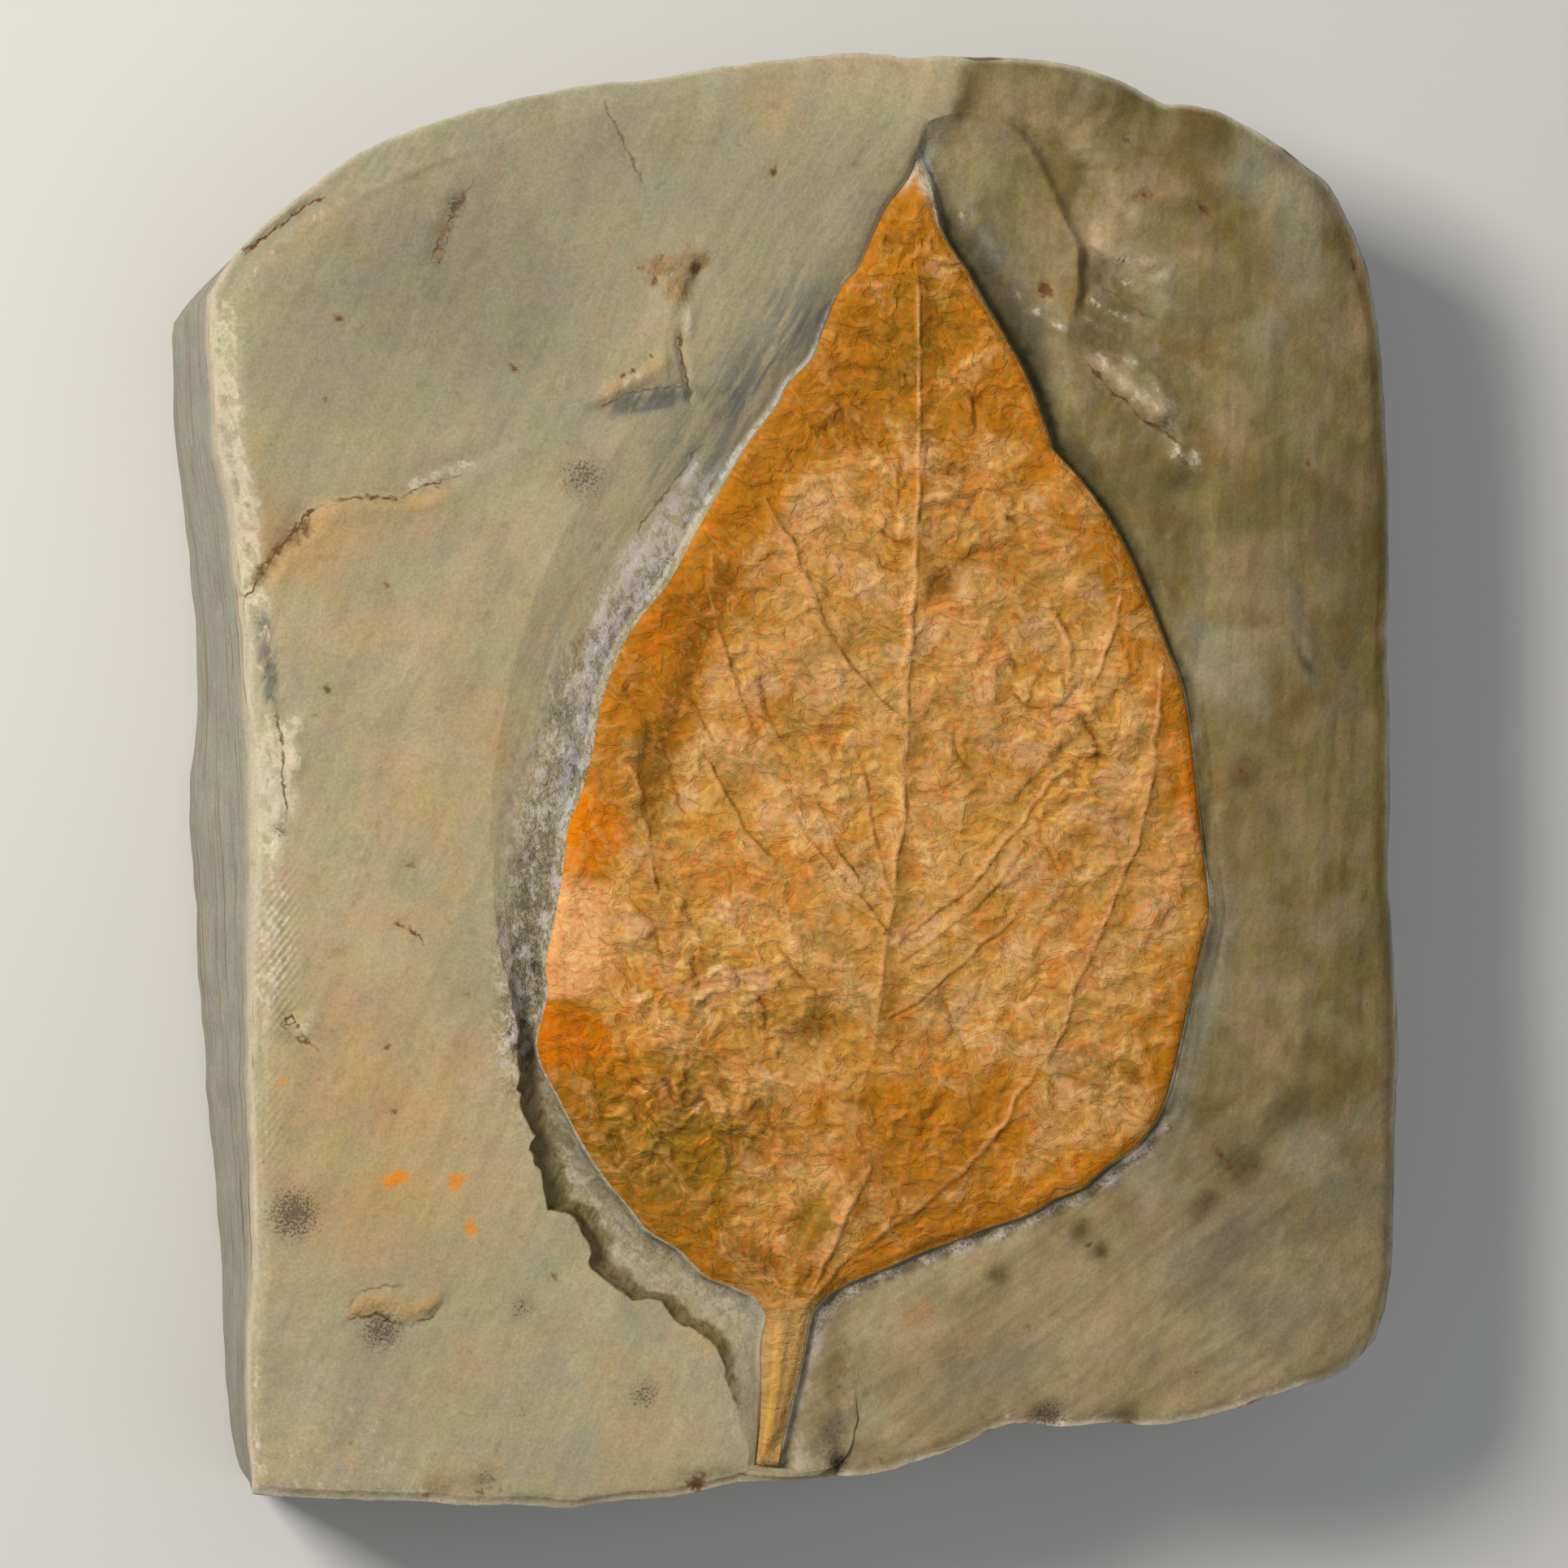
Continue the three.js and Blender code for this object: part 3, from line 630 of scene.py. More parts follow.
ridge(((47.6, 6.5), (47.3, 3), (47.7, 0.2)), 0.5, -0.2, "brown", 0.45)
stain("deep", 1.3, (39, 0.6), 1.4, 1.6)
stain("brown", 0.9, (38.9, 0.9), 0.8)
stain("deep", 0.4, (40.6, -2.4), 1.2, 2.6, 25)
for x, y, tall in ((48.9, 30, 7), (44.2, 20, 9), (46.6, -6, 10), (41.8, 8, 6), (49.6, -22, 9)):
    ridge(((x, y + tall), (x + 0.4, y), (x - 0.2, y - tall)), 0.5, -0.12, "brown", 0.3, 0.3)
stain("warm", 0.2, (40, -22), 12, 9)
stain("deep", 0.5, (38.9, -33.4), 1.4, 3, -35)
# The rough floor and the knot at the left of the leaf, and the painted shadow under the carving's
# rim below it
ROUGH_LEFT = ((26, 0), (18, 0.7), (6, 1), (-22, 1.3), (-28, 0.6), (-44, 0.5), (-50, 0.2), (-59, 0))
ROUGH_RIGHT = ((54, 0.2), (-24, 0.25), (-32, 0.8), (-46, 0.8), (-59, 0.4))
rough_reach = read_sides(((54, 2.4), (-59, 2.4)), ((54, 2.4), (14, 3), (4, 4.6), (-59, 4)))
tint("rough", (1 - ease(ring_out, 0.5 * rough_reach, 1.5 * rough_reach))
     * read_sides(ROUGH_RIGHT, ROUGH_LEFT))
pit((-24.3, -22), 0.9, -0.5, "chalky", 0.6)
pit((-22.9, -20.2), 0.5, -0.3, "rust", 0.5)
stain("soot", 0.8, (-22.6, -17.4), 0.5, 2.4, 4)
streak("pale", 0.42, ((-15, 15), (-19.6, 6), (-22, -4), (-24, -15)), 1.5)
for x, y, name in ((-24, -20.9, "soot"), (-23.6, -19.2, "chalky"), (-24.6, -22.8, "soot"),
                   (-25, -19.9, "chalky"), (-23.9, -23.6, "chalky"), (-25.3, -21.6, "soot")):
    pit((x, y), 0.4, 0.25, name, 1.3, 1.6, 60)
# Painted shadow: a dark band at the foot of the carving's steep rim, low on the left
RIM_SHADOW_WIDTH = ((54, 2), (-38, 2.4), (-43, 1.5), (-59, 1))
RIM_SHADOW_STRENGTH = ((54, 0), (-19, 0), (-25, 0.8), (-30, 1.1), (-48, 1), (-52, 0.6), (-54, 0),
                     (-59, 0))
under_rim = carving_reach - ring_out
rim_shadow_width = read_sides(((54, 1), (-59, 1)), RIM_SHADOW_WIDTH)
tint("undercut", ease(under_rim, -0.25, 0.1) * (1 - ease(under_rim / rim_shadow_width, 0.5, 1.3))
     * read_sides(((54, 0), (-59, 0)), RIM_SHADOW_STRENGTH))
ridge(((-19.5, -36.4), (-17.3, -39.4), (-16.3, -41.6)), 0.5, -0.5, "undercut", 0.8)
# The chip with a pale crescent, low on the plain
crack(((-39.4, -45.2), (-38, -43.9), (-36.4, -43.2), (-33.8, -43.3)), 0.2, 0.15, 0.55)
ridge(((-39, -45.9), (-37.8, -44.9), (-35.8, -44.6), (-33.8, -45.4), (-32, -44.9),
       (-31.2, -44)), 0.7, 0.25, "warm", 1.6, 0.05)
crack(((-39.3, -46.1), (-36.4, -45.7), (-34.4, -46.7), (-31.9, -46.2), (-30.9, -44.4)), 0.35,
      0.45, 1.0, 0.08)
# Slate-coloured strokes of the tool on the upper bevel
for strength, points, width in (
        (1, ((-8.4, 29), (-5, 33.5), (-0.4, 38.4), (4, 43.5)), 2.6),
        (0.65, ((-8, 31), (-4.4, 36.8), (-0.6, 43.4)), 2),
        (0.6, ((-11, 24), (-6, 31), (0.6, 41)), 2.2),
        (0.6, ((-13.5, 24.5), (-10.6, 30), (-8.6, 35)), 0.7)):
    streak("slate", strength, points, width, 0.2)
crack(((-8.3, 29.4), (-10.6, 26.2), (-13.4, 22.6), (-14.6, 20.6)), 0.3, 0.3, 0.7)
for points, width in ((((-9.6, 25.4), (-12.4, 21.4), (-15.4, 17)), 0.7),
                      (((-8.6, 28), (-10.4, 25)), 0.5),
                      (((-13.4, 22.2), (-16.6, 16.4), (-18.4, 11.4)), 0.5)):
    streak("chalky", 0.95, points, width, 0.2)
# Hollows beside the stalk and along the lower edge, darkened with painted shade as well as brown
# and soot
stain("deep", 0.75, (3, -50.4), 1.1, 4.4, -6)
stain("brown", 0.45, (3.6, -51.4), 1.3, 5, -8)
stain("deep", 0.8, (2.6, -55.6), 1.8, 3, -10)
stain("rough", 1.1, (3.4, -54), 2.6, 6, -8)
stain("soot", 0.5, (2.8, -56.6), 1.4, 2.4, -10)
pit((3.4, -59), 0.8, 1.6, "soot", 1.3)
pit((21.7, -55), 1.2, 0.9, "soot", 1.0, 1.5, 0)
pit((28.6, -55), 1.0, 0.6, "deep", 0.9, 1.7, 0)
pit((38.2, -50.3), 0.5, 0.2, "cool", 0.9, 3, 8)
for x, y in ((6.4, -58.4), (-31, -60.9), (-27.5, -60.6), (-8.9, -60.4), (-6.1, -60.2)):
    pit((x, y), 1.1, 0.5, "brown", 0.7, 1.6, 0)
# Speckled dark rosettes and rust spots
for rosette in ((1, (-43.7, -37), 2.4), (0.95, (-36.2, -46.9), 1.9), (0.7, (-19, 26.1), 2.2),
                (0.6, (-24.2, -45.2), 1.1), (0.7, (-13.6, -52.8), 1.5), (0.4, (-24.2, -54.1), 0.8),
                (0.5, (-44.5, -22), 0.7), (0.5, (-27.2, -60), 1.2)):
    stain("soot", *rosette)
for x, y, radius, stretch in ((38.6, -33.2, 2, 1.3), (35.4, -36.6, 1, 1.8), (24.4, -38.8, 0.8, 1.2),
                                (26.2, -40.8, 0.9, 1), (17.2, -42.7, 0.9, 1), (43, -28, 1.2, 2)):
    stain("deep", 1.2, (x, y), radius, radius * stretch, -50)
    stain("brown", 0.5, (x, y), radius * 0.8, radius * stretch, -50)
stain("russet", 0.6, (10.4, -45.8), 3, 1.5, 30)
stain("rust", 0.55, (10.2, -45.6), 1.6, 0.7, 25)
for place, radius, turn in (((27, -44), 3, 35), ((12, -49.6), 2.6, 30), ((36, -42), 3.4, 35),
                            ((20, -47), 2, 32), ((42, -37), 2.4, 50), ((31, -38), 1.6, 45)):
    stain("brown", 0.3, place, radius * 2.4, radius * 0.4, turn)
    stain("deep", 0.16, place, radius * 2, radius * 0.5, turn)
for shape in (((-35.2, -34.2), 1.5, 0.8, 15), ((-29.8, -34.3), 1, 0.9), ((-28.7, -38.5), 0.55, 1.2),
              ((-44.7, -25.7), 0.5, 0.45)):
    stain("rust", 1.7, *shape)
# Small brown pits that pepper the face
PLAIN_PITS = (
    (-41.4, 35.3), (-41, 32.6), (-44.3, 39.3), (-39.8, 39.4), (-21.8, 39.2), (-25, 35.4),
    (-21.7, 55.6), (-42.7, 27.8), (-39.5, 13.6), (-40.7, 7.6), (-41.8, 5.6), (-34.5, -1.1),
    (-36, 16.8), (-34.3, 11.2), (-33.6, -7.2), (-39.6, -14.8), (-41.5, -25.5), (-39.5, -25.3),
    (-43.7, -28.7), (-29.3, -22.5), (-29, -18.3), (-35.7, -22.7), (-35.2, -28.4), (-29.5, -30.4),
    (-25.4, -48.6), (-30.1, -52.1), (-39.1, -56.4), (-42.9, -51.5), (-27.3, -54.5),
    (-24.2, -39.1), (-21.3, -42.6), (-46.1, -32.6), (-14.2, 48), (-2.5, 52.2), (-7, 32.1),
    (28.4, 55.5), (30.2, 50.7), (35.4, 49.9), (31.9, 21.4), (33.6, 15.2),
    (44.6, 27.7), (25.2, -40.2), (10.8, -46.9), (26.9, -42.9), (36.8, -32.3),
    (45.3, -22.4), (34.7, -51.5), (41.3, -20.4), (44.2, -34.8), (30.6, -46.8), (20.8, -44.2))
PIT_SEED = 7
pit_dice = np.random.default_rng(PIT_SEED)
for place in PLAIN_PITS:
    pit(place, pit_dice.uniform(0.3, 0.6), pit_dice.uniform(0.08, 0.2), "brown",
        pit_dice.uniform(0.45, 0.95), pit_dice.uniform(1, 2), pit_dice.uniform(0, 180))

# Broad tints. The plain is warm low on the left, pale at the bottom and olive grey at the top,
# where the darker grey is partly painted shade for the light falling off towards the top.
WARM_PATCHES = (
    (0.85, (-37, -27), 11, 13), (0.8, (-40, 20), 8, 3.6, 25), (0.6, (-46, 20), 2.6, 6),
    (0.35, (-28, 6), 7, 12, 10), (0.9, (-3.2, 57.2), 2.4, 3), (0.25, (-29.3, 42.1), 5, 4),
    (0.35, (-31, -52), 6, 4, 20), (0.4, (-12, -56), 6, 4), (0.5, (-33, -1), 6, 5, 20),
    (0.9, (-36, -36), 9, 7), (0.35, (37, -41), 8, 6, 20))
GREY_AND_SHADE_PATCHES = (
    (0.95, (-32, 42), 17, 13, 20), (0.8, (-12, 53), 14, 9, 10), (0.5, (-36, 18), 5, 4),
    (0.3, (-33, -42), 6, 4), (0.35, (-40, -52), 8, 8), (0.3, (-30, -18), 6, 8),
    (0.2, (44, 30), 4, 14), (0.8, (37.5, -40.5), 6, 3, 35), (0.6, (18, -50.5), 6, 2.2, 15),
    (0.6, (41, -46), 6, 3, 20))
for name, patches in (("warm", WARM_PATCHES), ("cool", GREY_AND_SHADE_PATCHES)):
    for patch in patches:
        stain(name, *patch)
# The carving is fresher and greyer than the face, and painted shade darkens it against the leaf
FRESH_LEFT = ((54, 0.35), (40, 0.8), (-59, 0.7))
FRESH_RIGHT = ((54, 0.85), (34, 0.6), (26, 0.2), (10, 0.1), (-30, 0.15), (-40, 0.35), (-59, 0.5))
tint("fresh", 1 - ease(ring_out / carving_reach, 0.6, 1.1), 1.0)
tints["fresh"] *= read_sides(FRESH_RIGHT, FRESH_LEFT)
SHADE_WIDTH_RIGHT = ((54, 1.2), (49, 1.8), (45, 3), (37, 3.2), (33, 2), (29, 2.6), (24, 1.3),
                    (19, 1.6), (14, 0.6), (9, 1.1), (4, 0.5), (-3, 0.9), (-7, 0.4), (-14, 0.9),
                    (-19, 0.5), (-26, 1), (-31, 0.5), (-37, 0.9), (-46, 0.6), (-59, 1.2))
SHADE_WIDTH_LEFT = ((54, 0.5), (46, 2.5), (30, 2.6), (20, 1.5), (-24, 1), (-28, 1.6), (-59, 1))
SHADE_STRENGTH_RIGHT = ((54, 0.4), (48, 1), (20, 1), (8, 0.9), (2, 0.5), (-5, 0.9), (-9, 0.4),
                       (-14, 0.85), (-18, 0.8), (-24, 0.4), (-30, 0.8), (-46, 0.6), (-59, 0.6))
SHADE_STRENGTH_LEFT = ((54, 0), (46, 0.25), (36, 0.35), (28, 0.2), (20, 0.1), (-24, 0.15),
                      (-30, 0.5), (-44, 0.4), (-59, 0.1))
# Painted shade: a dark olive band in the groove along the leaf's margin
shade_width = read_sides(SHADE_WIDTH_RIGHT, SHADE_WIDTH_LEFT)
tint("deep", (1 - ease(ring_out, 0.4 * shade_width, 1.5 * shade_width))
     * read_sides(SHADE_STRENGTH_RIGHT, SHADE_STRENGTH_LEFT))
# The pedestal's side: whitish and speckled on the left, a thin pale line on the right. Besides
# chalky chips, this whiteness is partly painted highlight, on the left where the side faces the
# lamp and along the top right.
PALE_WIDTH_RIGHT = ((54, 1), (50, 0.7), (46, 0.3), (-26, 0.35), (-34, 1.1), (-48, 1.1), (-59, 0.7))
PALE_WIDTH_LEFT = ((54, 0.15), (40, 0.25), (29, 0.35), (25, 1.5), (10, 2), (0, 1.7), (-4, 0.8),
                   (-12, 0.4), (-59, 0.3))
PALE_STRENGTH_RIGHT = ((54, 1.1), (48.5, 0.9), (46, 0.1), (10, 0), (5, 0.3), (0, 0), (-6, 0.1),
                       (-9, 0.8), (-12, 0.1), (-18, 0.2), (-24, 0.8), (-29, 0.3), (-32, 0.5),
                       (-59, 0.5))
PALE_STRENGTH_LEFT = ((54, 0.5), (30, 0.8), (24, 1), (-2, 1), (-8, 0.4), (-20, 0.15), (-59, 0.1))
pale_width = read_sides(PALE_WIDTH_RIGHT, PALE_WIDTH_LEFT)
# Low on the right and in the left groove the pale chips begin a little out from the leaf
chips_start = read_sides(((54, 0), (-28, 0), (-33, 0.5), (-47, 0.5), (-50, 0)),
                         ((54, 0), (28, 0.1), (20, 0.5), (0, 0.5), (-6, 0), (-59, 0)))
tint("chalky", (1 - ease(ring_out - chips_start, 0.5 * pale_width, 1.4 * pale_width))
     * ease(ring_out, 0.6 * chips_start - 0.01, chips_start)
     * read_sides(PALE_STRENGTH_RIGHT, PALE_STRENGTH_LEFT))
tint("soot", blot(face_x, face_y, (-17.5, 9), 1.8, 14, -22) * (ring_out < 2.6), 0.12)
tint("soot", (1 - ease(ring_out, 1, 2.2)) * ease(ring_out, 0.3, 0.6)
     * read_sides(((54, 0), (-26, 0), (-31, 0.5), (-46, 0.6), (-50, 0)), ((54, 0), (-59, 0))))
# Crumbs of stone along the lower right margin, pale ones beside dark gaps, each at its step of
# the way down the margin
CRUMB_SEED = 3
CRUMB_STEPS = range(326, 410, 4)
crumb_dice = np.random.default_rng(CRUMB_SEED)
for k in CRUMB_STEPS:
    outwards = (carving_line[k] - margin_line[k]) / carving_reach[k]
    pale_one = k % 8 < 4
    pit(margin_line[k] + outwards * crumb_dice.uniform(0.6, 1.5), crumb_dice.uniform(0.3, 0.55),
        -0.3 if pale_one else 0.3, "chalky" if pale_one else "deep", 0.95, 1.7,
        crumb_dice.uniform(0, 50))
# The side of the pedestal that faces the light is hardly darkened
lit_side = np.where(on_right, 0, 0.8)
tints["deep"] *= 1 - lit_side * (1 - ease(ring_out, 0.2, 0.45))
# The pale strip along the left and upper left edges, and the rasp strokes on it
edge_part = 1 - ease(from_edge, 0.9 * edge_width, 1.05 * edge_width)
STRIP_PALE = ((-59, 0.5), (-30, 0.2), (-10, 0.3), (-4, 0.8), (3, 0.7), (8, 0.2), (15, 0.6),
              (19, 0.8), (44, 0.6), (50, 0.5))
pale_worn = np.interp(face_y, *zip(*STRIP_PALE))


def beside_edge(share, width):
    """1 along a line near the broken edge, a share of the edge's width in, fading beside it."""
    return np.exp(-((from_edge - share * edge_width) / width) ** 2)


# A painted highlight along the crest of the broken edge at the upper left
tint("pale", beside_edge(0.95, 0.22) * ease(-face_x, 24, 30), 0.9 * pale_worn)
tint("pale", edge_part * (face_x < -44) * ease(44 - face_y, 0, 6), pale_worn)
# Painted shade over the upper left of the face and its broken edge, and a painted shade line in
# brown and dark olive just inside the crest
stain("deep", 0.27, (-32, 44), 18, 13, 30)
tint("cool", edge_part * ease(-face_x, 8, 30) * ease(face_y, 36, 44), 1.1)
tint("deep", beside_edge(1.2, 0.5) * ease(-face_x, 26, 31) * ease(face_y, 40, 44), 0.42)
tint("brown", beside_edge(1.1, 0.2) * ease(-face_x, 26, 31) * ease(face_y, 42, 46), 0.55)
tint("fresh", edge_part * ease(-face_x, 8, 30), 0.6)
# The lower right edge, which turns away from the lamp, is painted paler: painted light
tint("pale", edge_part * ease(-face_y, 48, 56) * ease(face_x, 10, 20), 0.35)
stain("pale", 0.3, (-38, -58), 14, 7)
stain("pale", 0.25, (-10, -55), 10, 5)
stain("rasp", 1.2, (-45.4, -14), 1.7, 6.5)
stain("pale", 0.8, (-45.6, -14), 1.8, 7.5)
stain("rasp", 0.5, (-46, -29), 1.2, 6)
tint("rough", edge_part * ease(-face_y, 40, 55), 0.25)
# Nothing on the stone stands above the leaf's rim right beside it
marks_z = face_z - base_z
face_z = base_z + marks_z * ease(ring_out, 0, 0.5 * near_scale)
tints["crack_side"] = crack_side
tints["crack_gap"] = np.abs(crack_side)
tints["crack_share"] = crack_share

# The body of the block: the carved face, walls that lean out a little on the left, the sawn
# back, and the flat top of the pedestal under the leaf. It is one closed mesh.
WALL_RINGS = 18
WALL_FOOT = 3
BACK_RINGS = ((0.12, 1.7), (0.4, 0.7), (0.8, 0.15), (1.3, 0))
PEDESTAL_PARTS = (0.08, 0.3, 0.5, 0.7, 0.92)
PEDESTAL_SINK = 0.6

vertices = np.column_stack([face_x.ravel(), face_y.ravel(), face_z.ravel()])
rim_z = face_z[0]
edge_z = face_z[-1]
for part in np.linspace(0, 1, WALL_RINGS + 1)[1:]:
    place = face_line + (wall_line - face_line) * ease(part, -0.2, 1)
    ring = np.column_stack([place, edge_z + (WALL_FOOT - edge_z) * part])
    vertices = np.vstack([vertices, ring])
inwards = -wall_line / np.hypot(*wall_line.T)[:, None]
for inset, height in BACK_RINGS:
    ring = np.column_stack([wall_line + inwards * inset, np.full(loop_count, float(height))])
    vertices = np.vstack([vertices, ring])
grid = np.arange(len(vertices)).reshape(-1, loop_count)
faces = []
for inner, outer in zip(grid, grid[1:]):
    inner_next = np.roll(inner, -1)
    outer_next = np.roll(outer, -1)
    faces += np.column_stack([inner, inner_next, outer_next, outer]).tolist()
faces.append(grid[-1].tolist())

pedestal_rows = []
for k in range(1, side_count - 1):
    parts = np.array(PEDESTAL_PARTS)[:, None]
    left = np.append(margin_left[k], rim_z[loop_count - k])
    right = np.append(margin_right[k], rim_z[k])
    first = len(vertices) + len(pedestal_rows) * len(parts)
    pedestal_rows.append(left + (right - left) * parts)
    pedestal_rows[-1][:, 2] -= PEDESTAL_SINK * min(1, (right[0] - left[0]) / 8)
    row = [loop_count - k, *range(first, first + len(parts)), k]
    if k == 1:
        faces += [[0, a, b] for a, b in zip(row, row[1:])]
    else:
        faces += [[a, b, d, c] for a, b, c, d in zip(row, row[1:], row_above, row_above[1:])]
    row_above = row
faces.append([side_count, side_count - 1] + row_above[::-1])
slab_mesh = bpy.data.meshes.new("matrix_slab_stone")
slab_mesh.from_pydata((np.vstack([vertices, *pedestal_rows]) * MM).tolist(), [], faces)
slab_mesh.polygons.foreach_set("use_smooth", [True] * len(faces))


def keep_values(mesh, name, values):
    """Keeps one number for each of a mesh's first vertices, for its nodes to read by name."""
    whole = np.zeros(len(mesh.vertices), dtype=np.float32)
    whole[:len(values)] = values
    mesh.attributes.new(name, "FLOAT", "POINT").data.foreach_set("value", whole)


for name, values in tints.items():
    keep_values(slab_mesh, name, values.ravel())
face_total = ring_count * loop_count
keep_values(slab_mesh, "run", np.tile(run_along(margin_line), ring_count))
keep_values(slab_mesh, "out", ring_out.ravel())
keep_values(slab_mesh, "worn", (rightness * np.ones_like(face_x)).ravel())
# The walls begin right at the broken edge, and their bedding shows in relief
wall_share = np.ones(len(vertices))
wall_share[:face_total] = (1 - ease(from_edge, 0, 0.7)).ravel()
keep_values(slab_mesh, "wall", wall_share)
weathered = np.ones(len(vertices))
weathered[:face_total] = ease(ring_out, 0, 0.5).ravel()
weathered[-2 * loop_count:] = 0
keep_values(slab_mesh, "weathered", weathered)
slab = bpy.data.objects.new("matrix_slab_stone", slab_mesh)
bpy.context.collection.objects.link(slab)

# Weathering, made by a node tree that follows the surface: faint waves on the old face, a rough
# break where the stone was chipped or carved, and bedding that stands out in the walls.
WAVE_HEIGHT = 0.28
WAVE_SIZE = 13
DIMPLE_HEIGHT = 0.1
DIMPLE_SIZE = 3.2
BREAK_HEIGHT = 1.1
BREAK_SIZE = 2.6
BED_HEIGHT = 0.5
BED_SIZE = 1.7
BED_STRETCH = 14


def put(kind, inputs=(), **settings):
    """Adds a node to the tree in hand. Its inputs, by name or number, take plain values or other
    nodes' outputs."""
    node = tree.nodes.new(kind)
    for name, value in settings.items():
        setattr(node, name, value)
    for name, value in dict(inputs).items():
        if isinstance(value, bpy.types.NodeSocket):
            tree.links.new(value, node.inputs[name])
        else:
            node.inputs[name].default_value = value
    return node


def sums(operation, first, second=0.0):
    """One step of arithmetic on two numbers."""
    return put("ShaderNodeMath", {0: first, 1: second}, operation=operation).outputs[0]


def times(*numbers):
    return reduce(lambda product, number: sums("MULTIPLY", product, number), numbers)


def plus(*numbers):
    return reduce(lambda total, number: sums("ADD", total, number), numbers)


def minus(first, second):
    return sums("SUBTRACT", first, second)


def away_from(number, level):
    """How far a number is from a level, on either side."""
    return sums("ABSOLUTE", minus(number, level))


def span(value, low, high, to_low=0.0, to_high=1.0):
    """Turns the range low to high into to_low to to_high, with a soft S between."""
    inputs = {"Value": value, "From Min": low, "From Max": high, "To Min": to_low,
              "To Max": to_high}
    return put("ShaderNodeMapRange", inputs, interpolation_type="SMOOTHSTEP").outputs[0]


def clouds(where, size, detail=2.0, roughness=0.5, distortion=0.0):
    """Soft random lights and darks, each some millimetres across, from 0 to 1."""
    inputs = {"Vector": where, "Scale": 1 / (size * MM), "Detail": detail,
              "Roughness": roughness, "Distortion": distortion}
    return put("ShaderNodeTexNoise", inputs).outputs[0]


def turned(where, turn=(0, 0, 0), stretch=(1, 1, 1)):
    """The same places, turned by some degrees and with each direction stretched."""
    inputs = {"Vector": where, "Rotation": [math.radians(angle) for angle in turn]}
    round_about = put("ShaderNodeVectorRotate", inputs, rotation_type="EULER_XYZ")
    inputs = {0: round_about.outputs[0], 1: stretch}
    return put("ShaderNodeVectorMath", inputs, operation="DIVIDE").outputs[0]


def start_tree(name, numbers, objects=()):
    """Takes a new geometry node tree in hand, with a mesh going in and out, and named numbers and
    objects beside it."""
    global tree
    tree = bpy.data.node_groups.new(name, "GeometryNodeTree")
    for kind, names in (("Geometry", ["Geometry"]), ("Object", objects), ("Float", numbers)):
        for socket_name in names:
            tree.interface.new_socket(socket_name, in_out="INPUT", socket_type="NodeSocket" + kind)
    tree.interface.new_socket("Geometry", in_out="OUTPUT", socket_type="NodeSocketGeometry")
    return put("NodeGroupInput").outputs


def named(name):
    """Reads the numbers kept on the mesh under a name."""
    return put("GeometryNodeInputNamedAttribute", {"Name": name}).outputs[0]


def end_tree(mesh, material):
    """Ends a tree as they all end: instances made real, then the material set."""
    real = put("GeometryNodeRealizeInstances", {0: mesh}).outputs[0]
    shown = put("GeometryNodeSetMaterial", {"Geometry": real, "Material": material})
    put("NodeGroupOutput", {0: shown.outputs[0]})


def apply_tree(piece, values):
    """Runs the tree in hand on a piece and keeps the result as its plain mesh."""
    modifier = piece.modifiers.new(tree.name, "NODES")
    modifier.node_group = tree
    for socket in tree.interface.items_tree:
        if socket.in_out == "INPUT" and socket.name in values:
            modifier[socket.identifier] = values[socket.name]
    depsgraph = bpy.context.evaluated_depsgraph_get()
    made = bpy.data.meshes.new_from_object(piece.evaluated_get(depsgraph))
    piece.modifiers.remove(modifier)
    rough_mesh = piece.data
    piece.data = made
    bpy.data.meshes.remove(rough_mesh)
    made.name = piece.name


stone = bpy.data.materials.new("mudstone")
given = start_tree("weather", ("Wave Height", "Dimple Height", "Break Height", "Bed Height"))
place = put("GeometryNodeInputPosition").outputs[0]
waves = minus(clouds(place, WAVE_SIZE, 1), 0.5)
dimples = minus(clouds(place, DIMPLE_SIZE, 3), 0.5)
breaks = minus(clouds(place, BREAK_SIZE, 4, 0.6), 0.5)
flat_beds = turned(place, (4, -3, 0), (BED_STRETCH, BED_STRETCH, 1))
beds = minus(clouds(flat_beds, BED_SIZE, 3, 0.6), 0.5)
broken = plus(named("rough"), times(named("fresh"), 0.12))
height = plus(times(waves, given["Wave Height"]), times(dimples, given["Dimple Height"]),
              times(breaks, given["Break Height"], broken),
              times(beds, given["Bed Height"], named("wall")))
height = times(height, named("weathered"))
normal = put("GeometryNodeInputNormal").outputs[0]
push = put("ShaderNodeVectorMath", {0: normal, "Scale": height}, operation="SCALE")
pushed = put("GeometryNodeSetPosition", {"Geometry": given["Geometry"], "Offset": push.outputs[0]})
pushed = put("GeometryNodeStoreNamedAttribute",
             {"Geometry": pushed.outputs[0], "Name": "lumps", "Value": breaks})
end_tree(pushed.outputs[0], stone)
apply_tree(slab, {"Wave Height": WAVE_HEIGHT * MM, "Dimple Height": DIMPLE_HEIGHT * MM,
                  "Break Height": BREAK_HEIGHT * MM, "Bed Height": BED_HEIGHT * MM})

